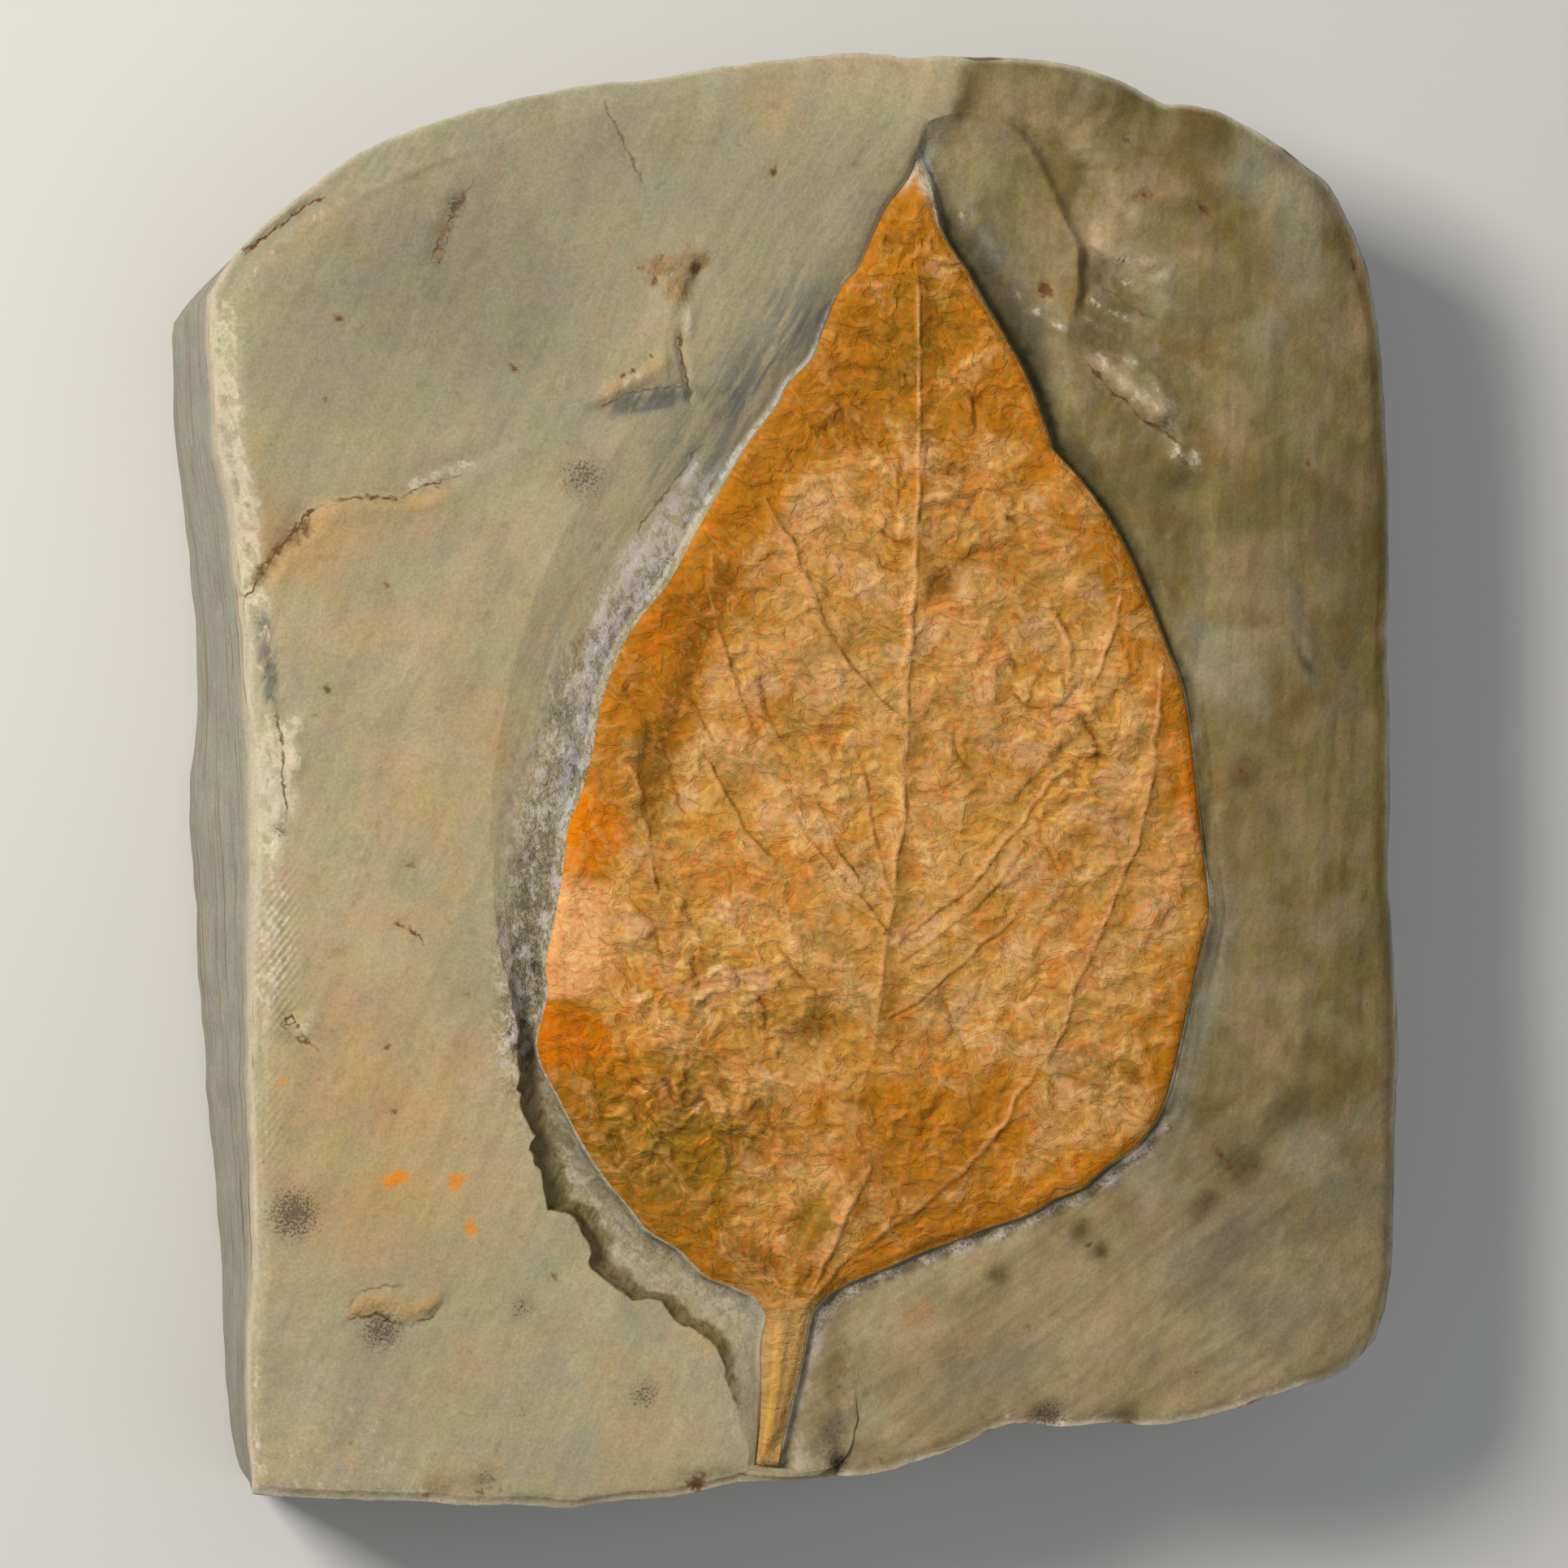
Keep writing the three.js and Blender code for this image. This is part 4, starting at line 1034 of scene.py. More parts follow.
# The stone's colours, as they look in daylight
OLIVE_GREY = (160, 149, 118)
TAN = (172, 156, 120)
OCHRE = (180, 146, 94)
COOL_GREY = (140, 134, 111)
CUT_GREY = (146, 139, 114)
CREAM = (192, 179, 152)
CHALK = (188, 179, 168)
UMBER = (122, 100, 54)
MOSS = (127, 112, 67)
DUSTY_PINK = (136, 112, 80)
LOW_TAN = (154, 134, 98)
DUSTY_TAN = (162, 140, 106)
DUSTY_CREAM = (184, 164, 134)
BLUE_GREY = (142, 142, 128)
SHADOW_OLIVE = (66, 60, 34)
RIM_SHADOW_BROWN = (94, 78, 36)
SLATE = (110, 110, 98)
RUSSET = (152, 116, 74)
BARK = (96, 66, 42)
RUST = (214, 132, 36)
SOOT = (72, 62, 54)
WALL_BLUE = (148, 144, 130)
WALL_BROWN = (122, 106, 82)
# How far up the face its streaks turn upright and its low tan ends, and how far up the walls the
# cream and the dark beds begin
SLANT_BELOW = -36
UPRIGHT_ABOVE = -20
LOW_TAN_BELOW = -50
LOW_TAN_END = -26
CREAM_BEDS_START = 20.5
CREAM_BEDS_FULL = 24
DARK_BEDS_START = 15
DARK_BEDS_FULL = 21
RASP_PITCH = 0.55
RASP_HEADING = (0.78, -0.62, 0)
STONE_GRAIN_HEIGHT = 0.2
STONE_SHINE = 0.15


def mark(name):
    """The same numbers, read in a material."""
    return put("ShaderNodeAttribute", attribute_name=name).outputs["Fac"]


def colour(shade):
    return (*light_colour(*shade), 1)


def mixed(share, under, over, blend="MIX"):
    """Lays one colour over another by a share."""
    inputs = {0: share, 6: under, 7: over}
    return put("ShaderNodeMix", inputs, data_type="RGBA", blend_type=blend).outputs[2]


def part_of(vector, axis):
    """One of a vector's three parts: 0 across the leaf, 1 up it, 2 out of the stone."""
    return put("ShaderNodeSeparateXYZ", {0: vector}).outputs[axis]


def three_clouds(where, size, detail, roughness=0.5):
    """Three soft noises at once, as a colour or a vector."""
    inputs = {"Vector": where, "Scale": 1 / (size * MM), "Detail": detail, "Roughness": roughness}
    return put("ShaderNodeTexNoise", inputs).outputs["Color"]


def speckled(mask, noise, softness):
    """Breaks a soft mask into specks: none where it is 0, all covered where it is 1."""
    level = minus(plus(mask, span(noise, 0.25, 0.75)), 1)
    return span(level, 0, softness)


def all_over(roughness, bumps, bump_height, shine):
    """A rough finish in the colours laid so far, with its bumps in millimetres."""
    shader = tree.nodes["Principled BSDF"]
    tree.links.new(skin, shader.inputs["Base Color"])
    tree.links.new(roughness, shader.inputs["Roughness"])
    bump = put("ShaderNodeBump", {"Height": bumps, "Distance": bump_height * MM})
    tree.links.new(bump.outputs[0], shader.inputs["Normal"])
    shader.inputs["Specular IOR Level"].default_value = shine


stone.use_nodes = True
tree = stone.node_tree
where = put("ShaderNodeTexCoord").outputs["Object"]
broad = clouds(where, 19, 2, 0.5, 0.6)
patches = clouds(where, 7.3, 3, 0.55, 0.5)
blots = clouds(where, 4.1, 4, 0.6, 0.3)
mottle = clouds(where, 1.5, 4, 0.65)
grain = clouds(where, 0.3, 2, 0.6)
run_out = put("ShaderNodeCombineXYZ", {0: mark("run"), 1: mark("out")})
strokes = clouds(turned(run_out.outputs[0], (0, 0, 0), (9 / MM, 1 / MM, 1)), 0.9, 3)
upright = clouds(turned(where, (0, 0, 3), (1, 11, 1)), 1.5, 3, 0.6, 0.3)
slanting = clouds(turned(where, (0, 0, -36), (9, 1, 1)), 1.3, 3, 0.6, 0.4)
brushed = clouds(turned(where, (0, 0, 24), (1, 9, 1)), 1.1, 4, 0.6, 0.3)
washes = clouds(turned(where, (0, 0, 30), (1, 2.2, 1)), 5.5, 3, 0.55, 0.8)
crumbs = clouds(turned(where, (0, 0, -28), (1, 1.5, 1)), 0.95, 4, 0.7, 0.2)
lumps = mark("lumps")


def layer(share, shade):
    """Lays a colour over the colours so far."""
    global skin
    skin = mixed(share, skin, colour(shade))


def lit_by(amount, noise, *levels):
    """Lightens the colours so far where a noise is high, and darkens them where it is low."""
    global skin
    skin = mixed(amount, skin, span(noise, *levels), "OVERLAY")


# The old face: olive grey and tan with ochre patches
skin = mixed(span(broad, 0.38, 0.6), colour(OLIVE_GREY), colour(TAN))
layer(span(patches, 0.5, 0.74, 0, 0.6), OCHRE)
layer(span(blots, 0.46, 0.72, 0, 0.65), COOL_GREY)
layer(times(mark("warm"), span(blots, 0.25, 0.6, 0.55, 1)), OCHRE)
# The grey mark, partly painted shade towards the top of the face
layer(times(mark("cool"), 0.85), COOL_GREY)
layer(span(washes, 0.52, 0.7, 0, 0.18), DUSTY_CREAM)
layer(span(washes, 0.46, 0.3, 0, 0.16), BLUE_GREY)
slants = clouds(turned(where, (0, 0, -60), (7, 1, 1)), 0.8, 3, 0.6, 0.2)
# The worn right side: moss and umber in upright streaks, dusty pink patches, lighter low down
worn = mixed(span(blots, 0.38, 0.6), colour(UMBER), colour(MOSS))
up_face = part_of(where, 1)
streaks = mixed(span(up_face, SLANT_BELOW * MM, UPRIGHT_ABOVE * MM, 1, 0), upright, slanting)
for share, shade in (
        (span(patches, 0.46, 0.62, 0, 0.85), DUSTY_PINK),
        (span(broad, 0.48, 0.64, 0, 0.75), CUT_GREY), (span(streaks, 0.5, 0.64, 0, 0.4), UMBER),
        (span(up_face, LOW_TAN_BELOW * MM, LOW_TAN_END * MM, 0.85, 0), LOW_TAN),
        (span(washes, 0.52, 0.66, 0, 0.35), DUSTY_TAN), (span(washes, 0.46, 0.32, 0, 0.22), SLATE),
        (times(mark("warm"), 0.7), DUSTY_TAN), (times(mark("cool"), 0.7), SLATE)):
    worn = mixed(share, worn, colour(shade))
worn_share = span(mark("worn"), 0.2, 0.9)
skin = mixed(worn_share, skin, worn)
# Freshly carved stone, with strokes of the tool along the leaf's edge
cut = mixed(span(strokes, 0.35, 0.68), colour(CUT_GREY), colour(TAN))
cut = mixed(times(worn_share, 0.7), cut, colour(MOSS))
skin = mixed(times(mark("fresh"), 0.85), skin, cut)
layer(times(mark("slate"), span(slants, 0.36, 0.6, 0.1, 1)), SLATE)
# Broken stone gets a painted highlight where it stands up and painted shade where it lies low, and
# is finely crumbled
rough = mark("rough")
layer(times(span(lumps, 0.02, 0.18, 0, 0.4), rough), CHALK)
layer(times(span(lumps, -0.16, -0.02, 0.4, 0), rough), SHADOW_OLIVE)
rough = times(rough, span(worn_share, 0, 1, 1, 0.15))
layer(times(span(crumbs, 0.53, 0.57, 0, 0.7), rough), CHALK)
crumb_gaps = away_from(crumbs, 0.45)
layer(times(span(crumb_gaps, 0.006, 0.03, 0.65, 0), rough), SHADOW_OLIVE)
# The walls: blue grey beds with thin brown ones, and cream near the top
up = part_of(where, 2)
thin_beds = clouds(turned(where, (4, -3, 0), (30, 30, 1)), 0.8, 4, 0.65)
wall = mixed(span(thin_beds, 0.48, 0.68, 0, 0.55), colour(WALL_BLUE), colour(WALL_BROWN))
wall = mixed(span(up, CREAM_BEDS_START * MM, CREAM_BEDS_FULL * MM, 0, 0.8), wall, colour(CREAM))
dark_beds = times(span(thin_beds, 0.58, 0.64),
                  span(up, DARK_BEDS_START * MM, DARK_BEDS_FULL * MM, 0.12, 0.8))
wall = mixed(dark_beds, wall, colour(BARK))
skin = mixed(mark("wall"), skin, wall)
# Pale chips and lips, brown and dark marks, rust and soot. The dark olive is partly painted shade
# in the grooves and hollows, and the dark brown after it is the painted shadow under the carving's
# rim.
broken = span(mottle, 0.38, 0.58, 0.2, 1)
layer(times(mark("pale"), broken, 0.6), CREAM)
layer(speckled(mark("pale"), crumbs, 0.35), CREAM)
layer(times(mark("chalky"), span(crumbs, 0.44, 0.5, 0.12, 1)), CHALK)
layer(times(mark("deep"), span(mottle, 0.25, 0.6, 1, 0.7)), SHADOW_OLIVE)
undercut = plus(mark("undercut"), span(mottle, 0.3, 0.7, -0.4, 0.4))
layer(times(span(undercut, 0.1, 0.95), span(slants, 0.3, 0.6, 1, 0.65)), RIM_SHADOW_BROWN)
russet = plus(mark("russet"), span(crumbs, 0.3, 0.7, -0.3, 0.3))
layer(span(russet, 0.2, 0.8, 0, 0.8), RUSSET)
layer(times(span(russet, 0.3, 0.8), span(crumbs, 0.42, 0.52, 0.9, 0)), MOSS)
layer(times(mark("brown"), 0.4), RUSSET)
layer(speckled(mark("brown"), mottle, 0.6), BARK)
stained = plus(mark("rust"), span(mottle, 0.3, 0.7, -0.5, 0.5))
layer(span(stained, 0.5, 1.5, 0, 0.9), RUST)
layer(times(mark("soot"), 0.3), SOOT)
dust = clouds(where, 0.22, 2, 0.6)
layer(times(speckled(mark("soot"), dust, 0.4), 0.7), SOOT)
# Cracks, as thin dark lines that waver and break
wavering = times(minus(clouds(where, 0.9, 3), 0.5), 1.1)
line = sums("ABSOLUTE", plus(mark("crack_side"), wavering))
line = span(line, 0.03, 0.19, 1, 0)
line = times(line, span(mark("crack_gap"), 0.5, 1.2, 1, 0))
line = times(line, mark("crack_share"))
layer(times(line, span(mottle, 0.36, 0.54, 0.15, 0.95)), BARK)
# Fine grain and brush marks, and the slanting strokes of a rasp on the left edge
uneven = times(worn_share, 0.5)
lit_by(uneven, streaks, 0.25, 0.75, 0.36, 0.68)
skin = mixed(0.14, skin, three_clouds(where, 4.5, 2, 0.65), "OVERLAY")
lit_by(uneven, patches, 0.3, 0.7, 0.34, 0.66)
for amount, noise, low, high in ((0.4, grain, 0.38, 0.62), (0.25, mottle, 0.4, 0.6),
                                 (0.28, brushed, 0.38, 0.62), (0.4, blots, 0.42, 0.58),
                                 (0.18, washes, 0.42, 0.58)):
    lit_by(amount, noise, 0.25, 0.75, low, high)
across = put("ShaderNodeVectorMath", {0: where, 1: RASP_HEADING},
             operation="DOT_PRODUCT").outputs["Value"]
teeth = sums("SINE", times(across, 2 * math.pi / (RASP_PITCH * MM)))
rasped = times(teeth, mark("rasp"))
layer(span(rasped, 0.3, 1, 0, 0.22), BARK)
bumps = plus(times(grain, 0.2), times(mottle, 0.6))
bumps = plus(bumps, times(crumbs, times(rough, 2)))
bumps = minus(bumps, times(rasped, 0.18))
bumps = plus(bumps, times(thin_beds, mark("wall")))
all_over(span(mottle, 0.2, 0.8, 0.78, 0.95), bumps, STONE_GRAIN_HEIGHT, STONE_SHINE)

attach(slab, "root")
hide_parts("matrix_slab")

# ---------------------------------------------------------------------------------------------
# The leaf: a thin film of iron-stained, papery stone pressed flat on the pedestal, with its
# midrib, side ribs and the fine crumpling of the dried leaf standing in it. Its rows run across
# from margin to margin, and the middle column follows the midrib down into the stalk.
LEAF_INSET = 0.12
LEAF_THICKNESS = 0.9
MIDRIB_HEIGHT = 0.2
RIB_HEIGHT = 0.13
CREASE_DEPTH = 0.25
FOLD_HEIGHT = 1
PLATE_HEIGHT = 0.36
FLAKE_HEIGHT = 0.26
WRINKLE_HEIGHT = 0.2
DEEPEST_RELIEF = 0.4
LEFT_COLUMNS = 106
RIGHT_COLUMNS = 94
UNDERSIDE_PARTS = (0, 0.25, 0.5, 0.75, 1)
OUTLINE_THINNING = 5
MARGIN_ROLL = 0.42
MARGIN_ROLL_WIDTH = 1.1
MIDRIB_SEARCH_STEPS = 6
MIDRIB = ((10.1, 53.9), (10.2, 42.8), (10.2, 25.6), (9.9, 21.1), (9.8, 17.8), (9.6, 14.5),
          (9.2, 8.9), (9, 4.4), (8.8, -1.3), (8.7, -4.6), (8.1, -6.8), (7.9, -10.2),
          (7.4, -13.1), (7, -15.8), (6.6, -19.1), (6.1, -23.6), (4.9, -26.9), (4.5, -30.7),
          (3.7, -33.5), (1.9, -36.7), (-0.3, -40.5), (-1.2, -45.5), (-1.8, -51.6), (-2.9, -59))
SIDE_RIBS = (
    ((-3, 23.9), (-0.8, 19.7), (0.9, 15.8), (2.3, 12.4), (3.8, 10.2), (5.8, 7.7), (8.6, 4.9)),
    ((4.7, 2.1), (5.6, -1.5), (6.3, -5.1), (6.8, -7.5), (7.6, -10)),
    ((1.3, -2.4), (2.3, -4.6), (3.2, -6.4), (5.2, -9.4)),
    ((-0.8, -3.2), (0.6, -5.3), (2.6, -7.9), (5.3, -10.7), (7, -13)),
    ((-8.6, 2.1), (-6.3, -1.9), (-4.8, -5.1), (-2.5, -7.1)),
    ((-14.6, 1), (-13.8, -2.4), (-13.3, -5.7), (-12.6, -9)),
    ((-7.5, 13.4), (-5.8, 7.8), (-4.6, 4.4)),
    ((7.4, -14.5), (9.4, -13), (11.7, -11.1), (14.4, -9.1), (16.2, -7.1), (18, -4.9),
     (19.6, -3), (21.8, 0.4)),
    ((8.6, -15.6), (12.9, -12.4), (15.4, -10.4), (17.6, -7.9), (19.4, -5.9)),
    ((31.4, 9.8), (31.1, 6), (30.7, 2.2), (29.8, -3), (28.2, -7.5), (26.9, -10.9), (25.2, -14.7),
     (23.7, -17.6), (23, -20.7), (21.2, -23.7), (18.9, -26.9), (17.4, -29.9), (14.5, -33),
     (9.4, -37.2), (3.6, -41.6), (0.4, -45)),
    ((28, 15.8), (26.4, 11.1), (25.2, 8.3)),
    ((22.1, 14.3), (23.2, 12.3), (23.4, 8.9)),
    ((7.7, -20.2), (11.7, -17.5), (14.9, -14.7), (18.5, -11.6)),
    ((0.4, -45), (3.4, -38.6), (5.6, -33.4)),
)
CREASES = (
    ((-15.2, 7.8), (-14.2, 6.6), (-13.1, 4.3), (-13.6, 1.8), (-13.4, -0.4), (-13.8, -2.7)),
    ((18.5, 7.6), (19.8, 6.5), (21.2, 6.2), (23, 6.3), (24.6, 5.5), (25.3, 4.4), (25.7, 3.3),
     (25.9, 1.1)),
    ((14.2, 19.2), (15.6, 20), (17.4, 20.1), (18.9, 20.9), (18.9, 22.2), (17.8, 22.8)),
    ((3.8, 19.6), (6.3, 19.2), (7.7, 18.2), (8.8, 18)),
    ((7.2, 21.4), (8.4, 20.6), (9.7, 20.3)),
    ((12.6, -19.1), (13, -20.9), (14.4, -23.4)),
    ((-0.2, -44.3), (0.2, -43), (0.7, -42)),
    ((1.2, -45.1), (2.8, -43.9), (4.5, -42.8), (6.1, -42.2)),
    ((-11.7, 3.2), (-11.2, 0.4), (-10.4, -2.6)),
    ((-9.8, 8.6), (-8.8, 5.8), (-7.6, 3.4)),
    ((-3.6, 8.6), (-2.6, 5.6), (-1.4, 3.4)),
    ((-1.8, -14), (-0.8, -16.2), (0.9, -17.8), (1.6, -20)),
    ((-4.8, -17.4), (-3.4, -19.2), (-2.9, -21.6)),
    ((13.1, 4.1), (13.8, 2), (15.1, 0.4)),
    ((20.4, -2.6), (21, -5.2), (22.4, -7.4)),
    ((16.9, 12.4), (18.4, 10.6), (18.6, 8.4)),
    ((2.4, 33.6), (4.1, 31.2), (5.2, 28.4)),
    ((12.6, 36.5), (13.8, 34.1), (15.5, 32.4)),
    ((20.9, -14.6), (20.2, -17.6), (18.4, -19.8)),
    ((-14.4, -10.6), (-12.8, -12.6), (-12.2, -15)),
    ((6.2, 42.4), (8.4, 42), (9.8, 42.3)),
    ((11, 44.6), (12.6, 44.2), (14, 44.6)),
    ((4.2, 38.6), (6.6, 38.1), (9.6, 38.6)),
    ((11.4, 39.6), (13.4, 39), (16, 39.6)),
    ((2.6, 35.2), (5.4, 35.6), (9, 34.9)),
    ((1.2, 30.4), (3.6, 31), (6.4, 30.3)),
    ((7.6, 46.4), (9.2, 46.1), (11.6, 46.6)),
)

leaf_rows = []
for k in range(side_count):
    left, right = margin_left[k].copy(), margin_right[k].copy()
    width = math.hypot(*(right - left))
    if k > 0:
        trim = min(LEAF_INSET, 0.2 * width) * (right - left) / width
        left, right = left + trim, right - trim
    leaf_rows.append((left, right))
midrib_down = np.array(MIDRIB)[::-1]


def midrib_part(left, right):
    """How far along a row, from its left end, the midrib crosses it."""
    part = 0.5
    for _ in range(MIDRIB_SEARCH_STEPS):
        y = left[1] + (right[1] - left[1]) * part
        x = np.interp(y, midrib_down[:, 1], midrib_down[:, 0])
        part = min(max((x - left[0]) / (right[0] - left[0]), 0.1), 0.9)
    return part


column_count = LEFT_COLUMNS + RIGHT_COLUMNS + 1
top_places = []
under_places = []
for left, right in leaf_rows[1:]:
    middle = midrib_part(left, right)
    parts = np.concatenate([np.linspace(0, middle, LEFT_COLUMNS + 1),
                            np.linspace(middle, 1, RIGHT_COLUMNS + 1)[1:]])
    top_places.append(left + (right - left) * parts[:, None])
    under_places.append(left + (right - left) * np.array(UNDERSIDE_PARTS)[:, None])
tip_place = leaf_rows[0][0]
leaf_places = np.vstack([tip_place, *top_places])
leaf_x, leaf_y = leaf_places.T
under_places = np.vstack([tip_place, *under_places])

# How far in from the margin each place lies
margin_outline = np.vstack([margin_line, margin_line[:1]])[::OUTLINE_THINNING]
inset = np.abs(line_gap(leaf_x, leaf_y, margin_outline)[0])
inset[-column_count:] = np.minimum(inset[-column_count:], 0.3)


def leaf_patch(strength, place, *shape):
    """A strength at a place on the leaf, with its radii and turn, fading out from it."""
    return strength * blot(leaf_x, leaf_y, place, *shape)


def leaf_line(strength, points, *shape):
    """A strength along a line on the leaf, with its width and the share of its faded ends."""
    return strength * along(leaf_x, leaf_y, points, *shape)


# Larger folds, each where it lies: the swelling where the blade runs into the stalk, the furrow
# on its left, and the stalk with its raised cord
blade = ease(leaf_y, -47, -43)
leaf_z = leaf_top(leaf_x) - MARGIN_ROLL * (1 - ease(inset, 0, MARGIN_ROLL_WIDTH)) ** 1.5
STALK_FOLD = ((8.2, -28), (5.4, -33), (3.6, -37), (1.4, -41), (-0.9, -46.5))
leaf_z += leaf_line(0.55, STALK_FOLD, 1.6, 0.3)
leaf_z -= leaf_line(0.45, ((2.6, -34.6), (1.2, -37.6), (-1.6, -40.4)), 1.3, 0.3)
midrib_here = np.interp(leaf_y, midrib_down[:, 1], midrib_down[:, 0])
leaf_z += 0.3 * (1 - blade) * np.exp(-((leaf_x - midrib_here + 0.5) / 0.7) ** 2)
leaf_z += leaf_line(0.25, ((31.1, 6), (29.8, -3), (26.9, -10.9), (23.7, -17.6), (18.9, -26.9)),
                    1.2, 0.2)
leaf_z += leaf_line(0.2, ((7.4, -18.9), (13.2, -13.6), (19.4, -7.6)), 2.0, 0.2)
leaf_z -= leaf_patch(0.3, (-12.6, -1), 2.2, 7, 5)
leaf_z -= leaf_patch(0.25, (1.5, -22.5), 3, 2)

first_under = len(leaf_places)
top_grid = np.arange(1, first_under).reshape(-1, column_count)
under_grid = first_under + np.arange(1, len(under_places)).reshape(-1, len(UNDERSIDE_PARTS))
leaf_faces = [[0, a, b] for a, b in zip(top_grid[0], top_grid[0][1:])]
for above, below in zip(top_grid, top_grid[1:]):
    leaf_faces += np.column_stack([below[:-1], below[1:], above[1:], above[:-1]]).tolist()
leaf_faces += [[first_under, b, a] for a, b in zip(under_grid[0], under_grid[0][1:])]
for above, below in zip(under_grid, under_grid[1:]):
    leaf_faces += np.column_stack([above[:-1], above[1:], below[1:], below[:-1]]).tolist()
# The sides, where the film's edge stands on the stone
for side, turn in ((0, 1), (-1, -1)):
    upper_edge = [0, *top_grid[:, side]]
    lower_edge = [first_under, *under_grid[:, side]]
    for a, b, c, d in zip(upper_edge, upper_edge[1:], lower_edge[1:], lower_edge):
        leaf_faces.append([a, d, c, b][::turn])
leaf_faces.append([*top_grid[-1][::-1], *under_grid[-1]])
leaf_faces = [[int(v) for v in face] for face in leaf_faces]
under_z = leaf_top(under_places[:, 0]) - LEAF_THICKNESS
leaf_vertices = np.vstack([np.column_stack([leaf_places, leaf_z]),
                           np.column_stack([under_places, under_z])])
leaf_mesh = bpy.data.meshes.new("pressed_leaf")
leaf_mesh.from_pydata((leaf_vertices * MM).tolist(), [], leaf_faces)
leaf_mesh.polygons.foreach_set("use_smooth", [True] * len(leaf_faces))


def most(*layers):
    """The greatest of several values at each place."""
    return reduce(np.maximum, layers)


def leaf_patches(*patches):
    """Several patches at once, the strongest at each place."""
    return most(*[leaf_patch(*patch) for patch in patches])


# Where the film is smooth, and where it is stained
on_left = leaf_x < midrib_here
golden = most(
    0.95 * (1 - ease(inset, 0.8, 6)) * np.where(on_left, 1, 0.8),
    ease(leaf_y, 16, 36) * np.where(on_left, 0.95, 0.8),
    leaf_line(1.8, ((1, 38), (-3, 30), (-8.5, 20.5), (-13.5, 11), (-16, 2)), 4.6, 0.1),
    leaf_patches(
        (1, (-11, 18.5), 4, 6, -30), (0.9, (-14, 9), 3.5, 6), (0.55, (17, 33), 4, 9, 20),
        (0.9, (4, 39), 5, 8), (1.4, (15, -38), 10, 3.6, 8), (0.9, (-4, -41.5), 6, 3, -25),
        (0.5, (33, -14), 2.5, 9), (1, (-17, -27), 5, 7, 20), (0.8, (-6, -35), 8, 6, -30),
        (1.1, (-6, 27), 4, 7, -30), (1.3, (11, -31), 10, 7, 20)))
saffron = leaf_patches(
    (1.7, (-19.4, -4.2), 3.4, 3.6), (1.6, (-21, -21.8), 4.8, 3, -20),
    (0.6, (-12.5, 13.5), 2.4, 5, -20), (0.8, (34.4, 1), 1.8, 7), (0.7, (-9.5, 21), 1.6, 4, -30),
    (0.4, (20.5, 29), 1.8, 5, 20), (0.5, (24, -33.6), 5, 1.6, 30))
# The pink along the stalk's fold is painted highlight on its crest. The olive beside that fold, and
# some olive and umber patches in the film's hollows, are painted shade.
pink_edge = ease(leaf_y, -19.4, -18.2) * ease(-leaf_y, 6, 10.5)
pink = most(leaf_patch(1.5, (-20.4, -13.6), 3.8, 8) * pink_edge,
            leaf_line(0.55, STALK_FOLD, 1.7, 0.3))
olive = leaf_patches(
    (1.1, (-11.5, -32), 10, 7.5, -25), (1.3, (0.6, -38.4), 1.8, 2.8, -35),
    (0.7, (-13, -1), 2.5, 8, 5), (0.7, (2, -21), 5, 3, 10), (0.75, (10, 38), 5, 9),
    (0.4, (6, 24), 5, 4), (0.5, (26, -26), 5, 3, 40), (0.35, (0, 3), 6, 3, 20))
umber = most(
    leaf_line(1.2, ((-5.8, 20), (-6.6, 17.4), (-9.6, 10.5), (-11.6, 5.2), (-13.2, -1.6)), 1.2, 0.1),
    leaf_patches(
        (1.1, (11.9, 17), 1.6, 1.9, -20), (1, (12.4, 27), 2.4, 1.1), (1.1, (28.8, -25.5), 1.4, 1.2),
        (0.8, (-11, 15), 3, 3), (1.1, (-12.8, 1), 1.2, 5, 5), (0.8, (-4, -41), 4.6, 1.8, -25),
        (0.7, (16, -39.4), 8, 1.2, 8), (0.6, (-15, -33), 2, 4, 30), (0.9, (1, -21), 3.4, 1.4, 15),
        (0.3, (20, 26), 2.5, 5, 30), (0.6, (-20, -20.5), 4, 1), (0.4, (10, 46), 1.5, 4)))
leaf_zones = {
    "smooth_film": most(leaf_patch(1, (-19, -13.4), 3.2, 6.5), 1 - blade,
                        leaf_line(1, STALK_FOLD, 2.4, 0.3), 0.5 * ease(leaf_y, 36, 50)),
    "inset": inset,
    "golden": golden * (0.25 + 0.75 * blade),
    "stalk": 1 - ease(leaf_y, -48, -43),
    "saffron": saffron * (1 - np.minimum(pink, 1)),
    "pink": pink,
    "olive": olive,
    "umber": umber,
    "midrib_show": 0.2 + 0.8 * ease(leaf_y, -32, -8),
    "chalk": most(0.8 * ease(leaf_y, 51.6, 53), leaf_patches(
        (1.3, (9.4, 52.3), 1.2, 0.5, 60), (1.3, (11.2, 51.2), 1.6, 0.7, -58),
        (1.3, (12.1, 48.8), 0.9, 0.45, -70))),
    "streak": leaf_line(1, ((-1.9, -46), (-2.2, -51), (-2.7, -55), (-3.2, -59)), 0.45, 0.1),
    "crumpling": most(0.45, leaf_patches(
        (0.85, (-8, -18), 13, 14), (0.85, (24, 2), 8, 14), (0.7, (2, 0), 9, 10),
        (0.7, (12, -30), 12, 6), (1.1, (-11, -29), 12, 9))),
    "top": np.ones_like(leaf_x)}
for name, values in leaf_zones.items():
    keep_values(leaf_mesh, name, values)
leaf = bpy.data.objects.new("pressed_leaf", leaf_mesh)
bpy.context.collection.objects.link(leaf)


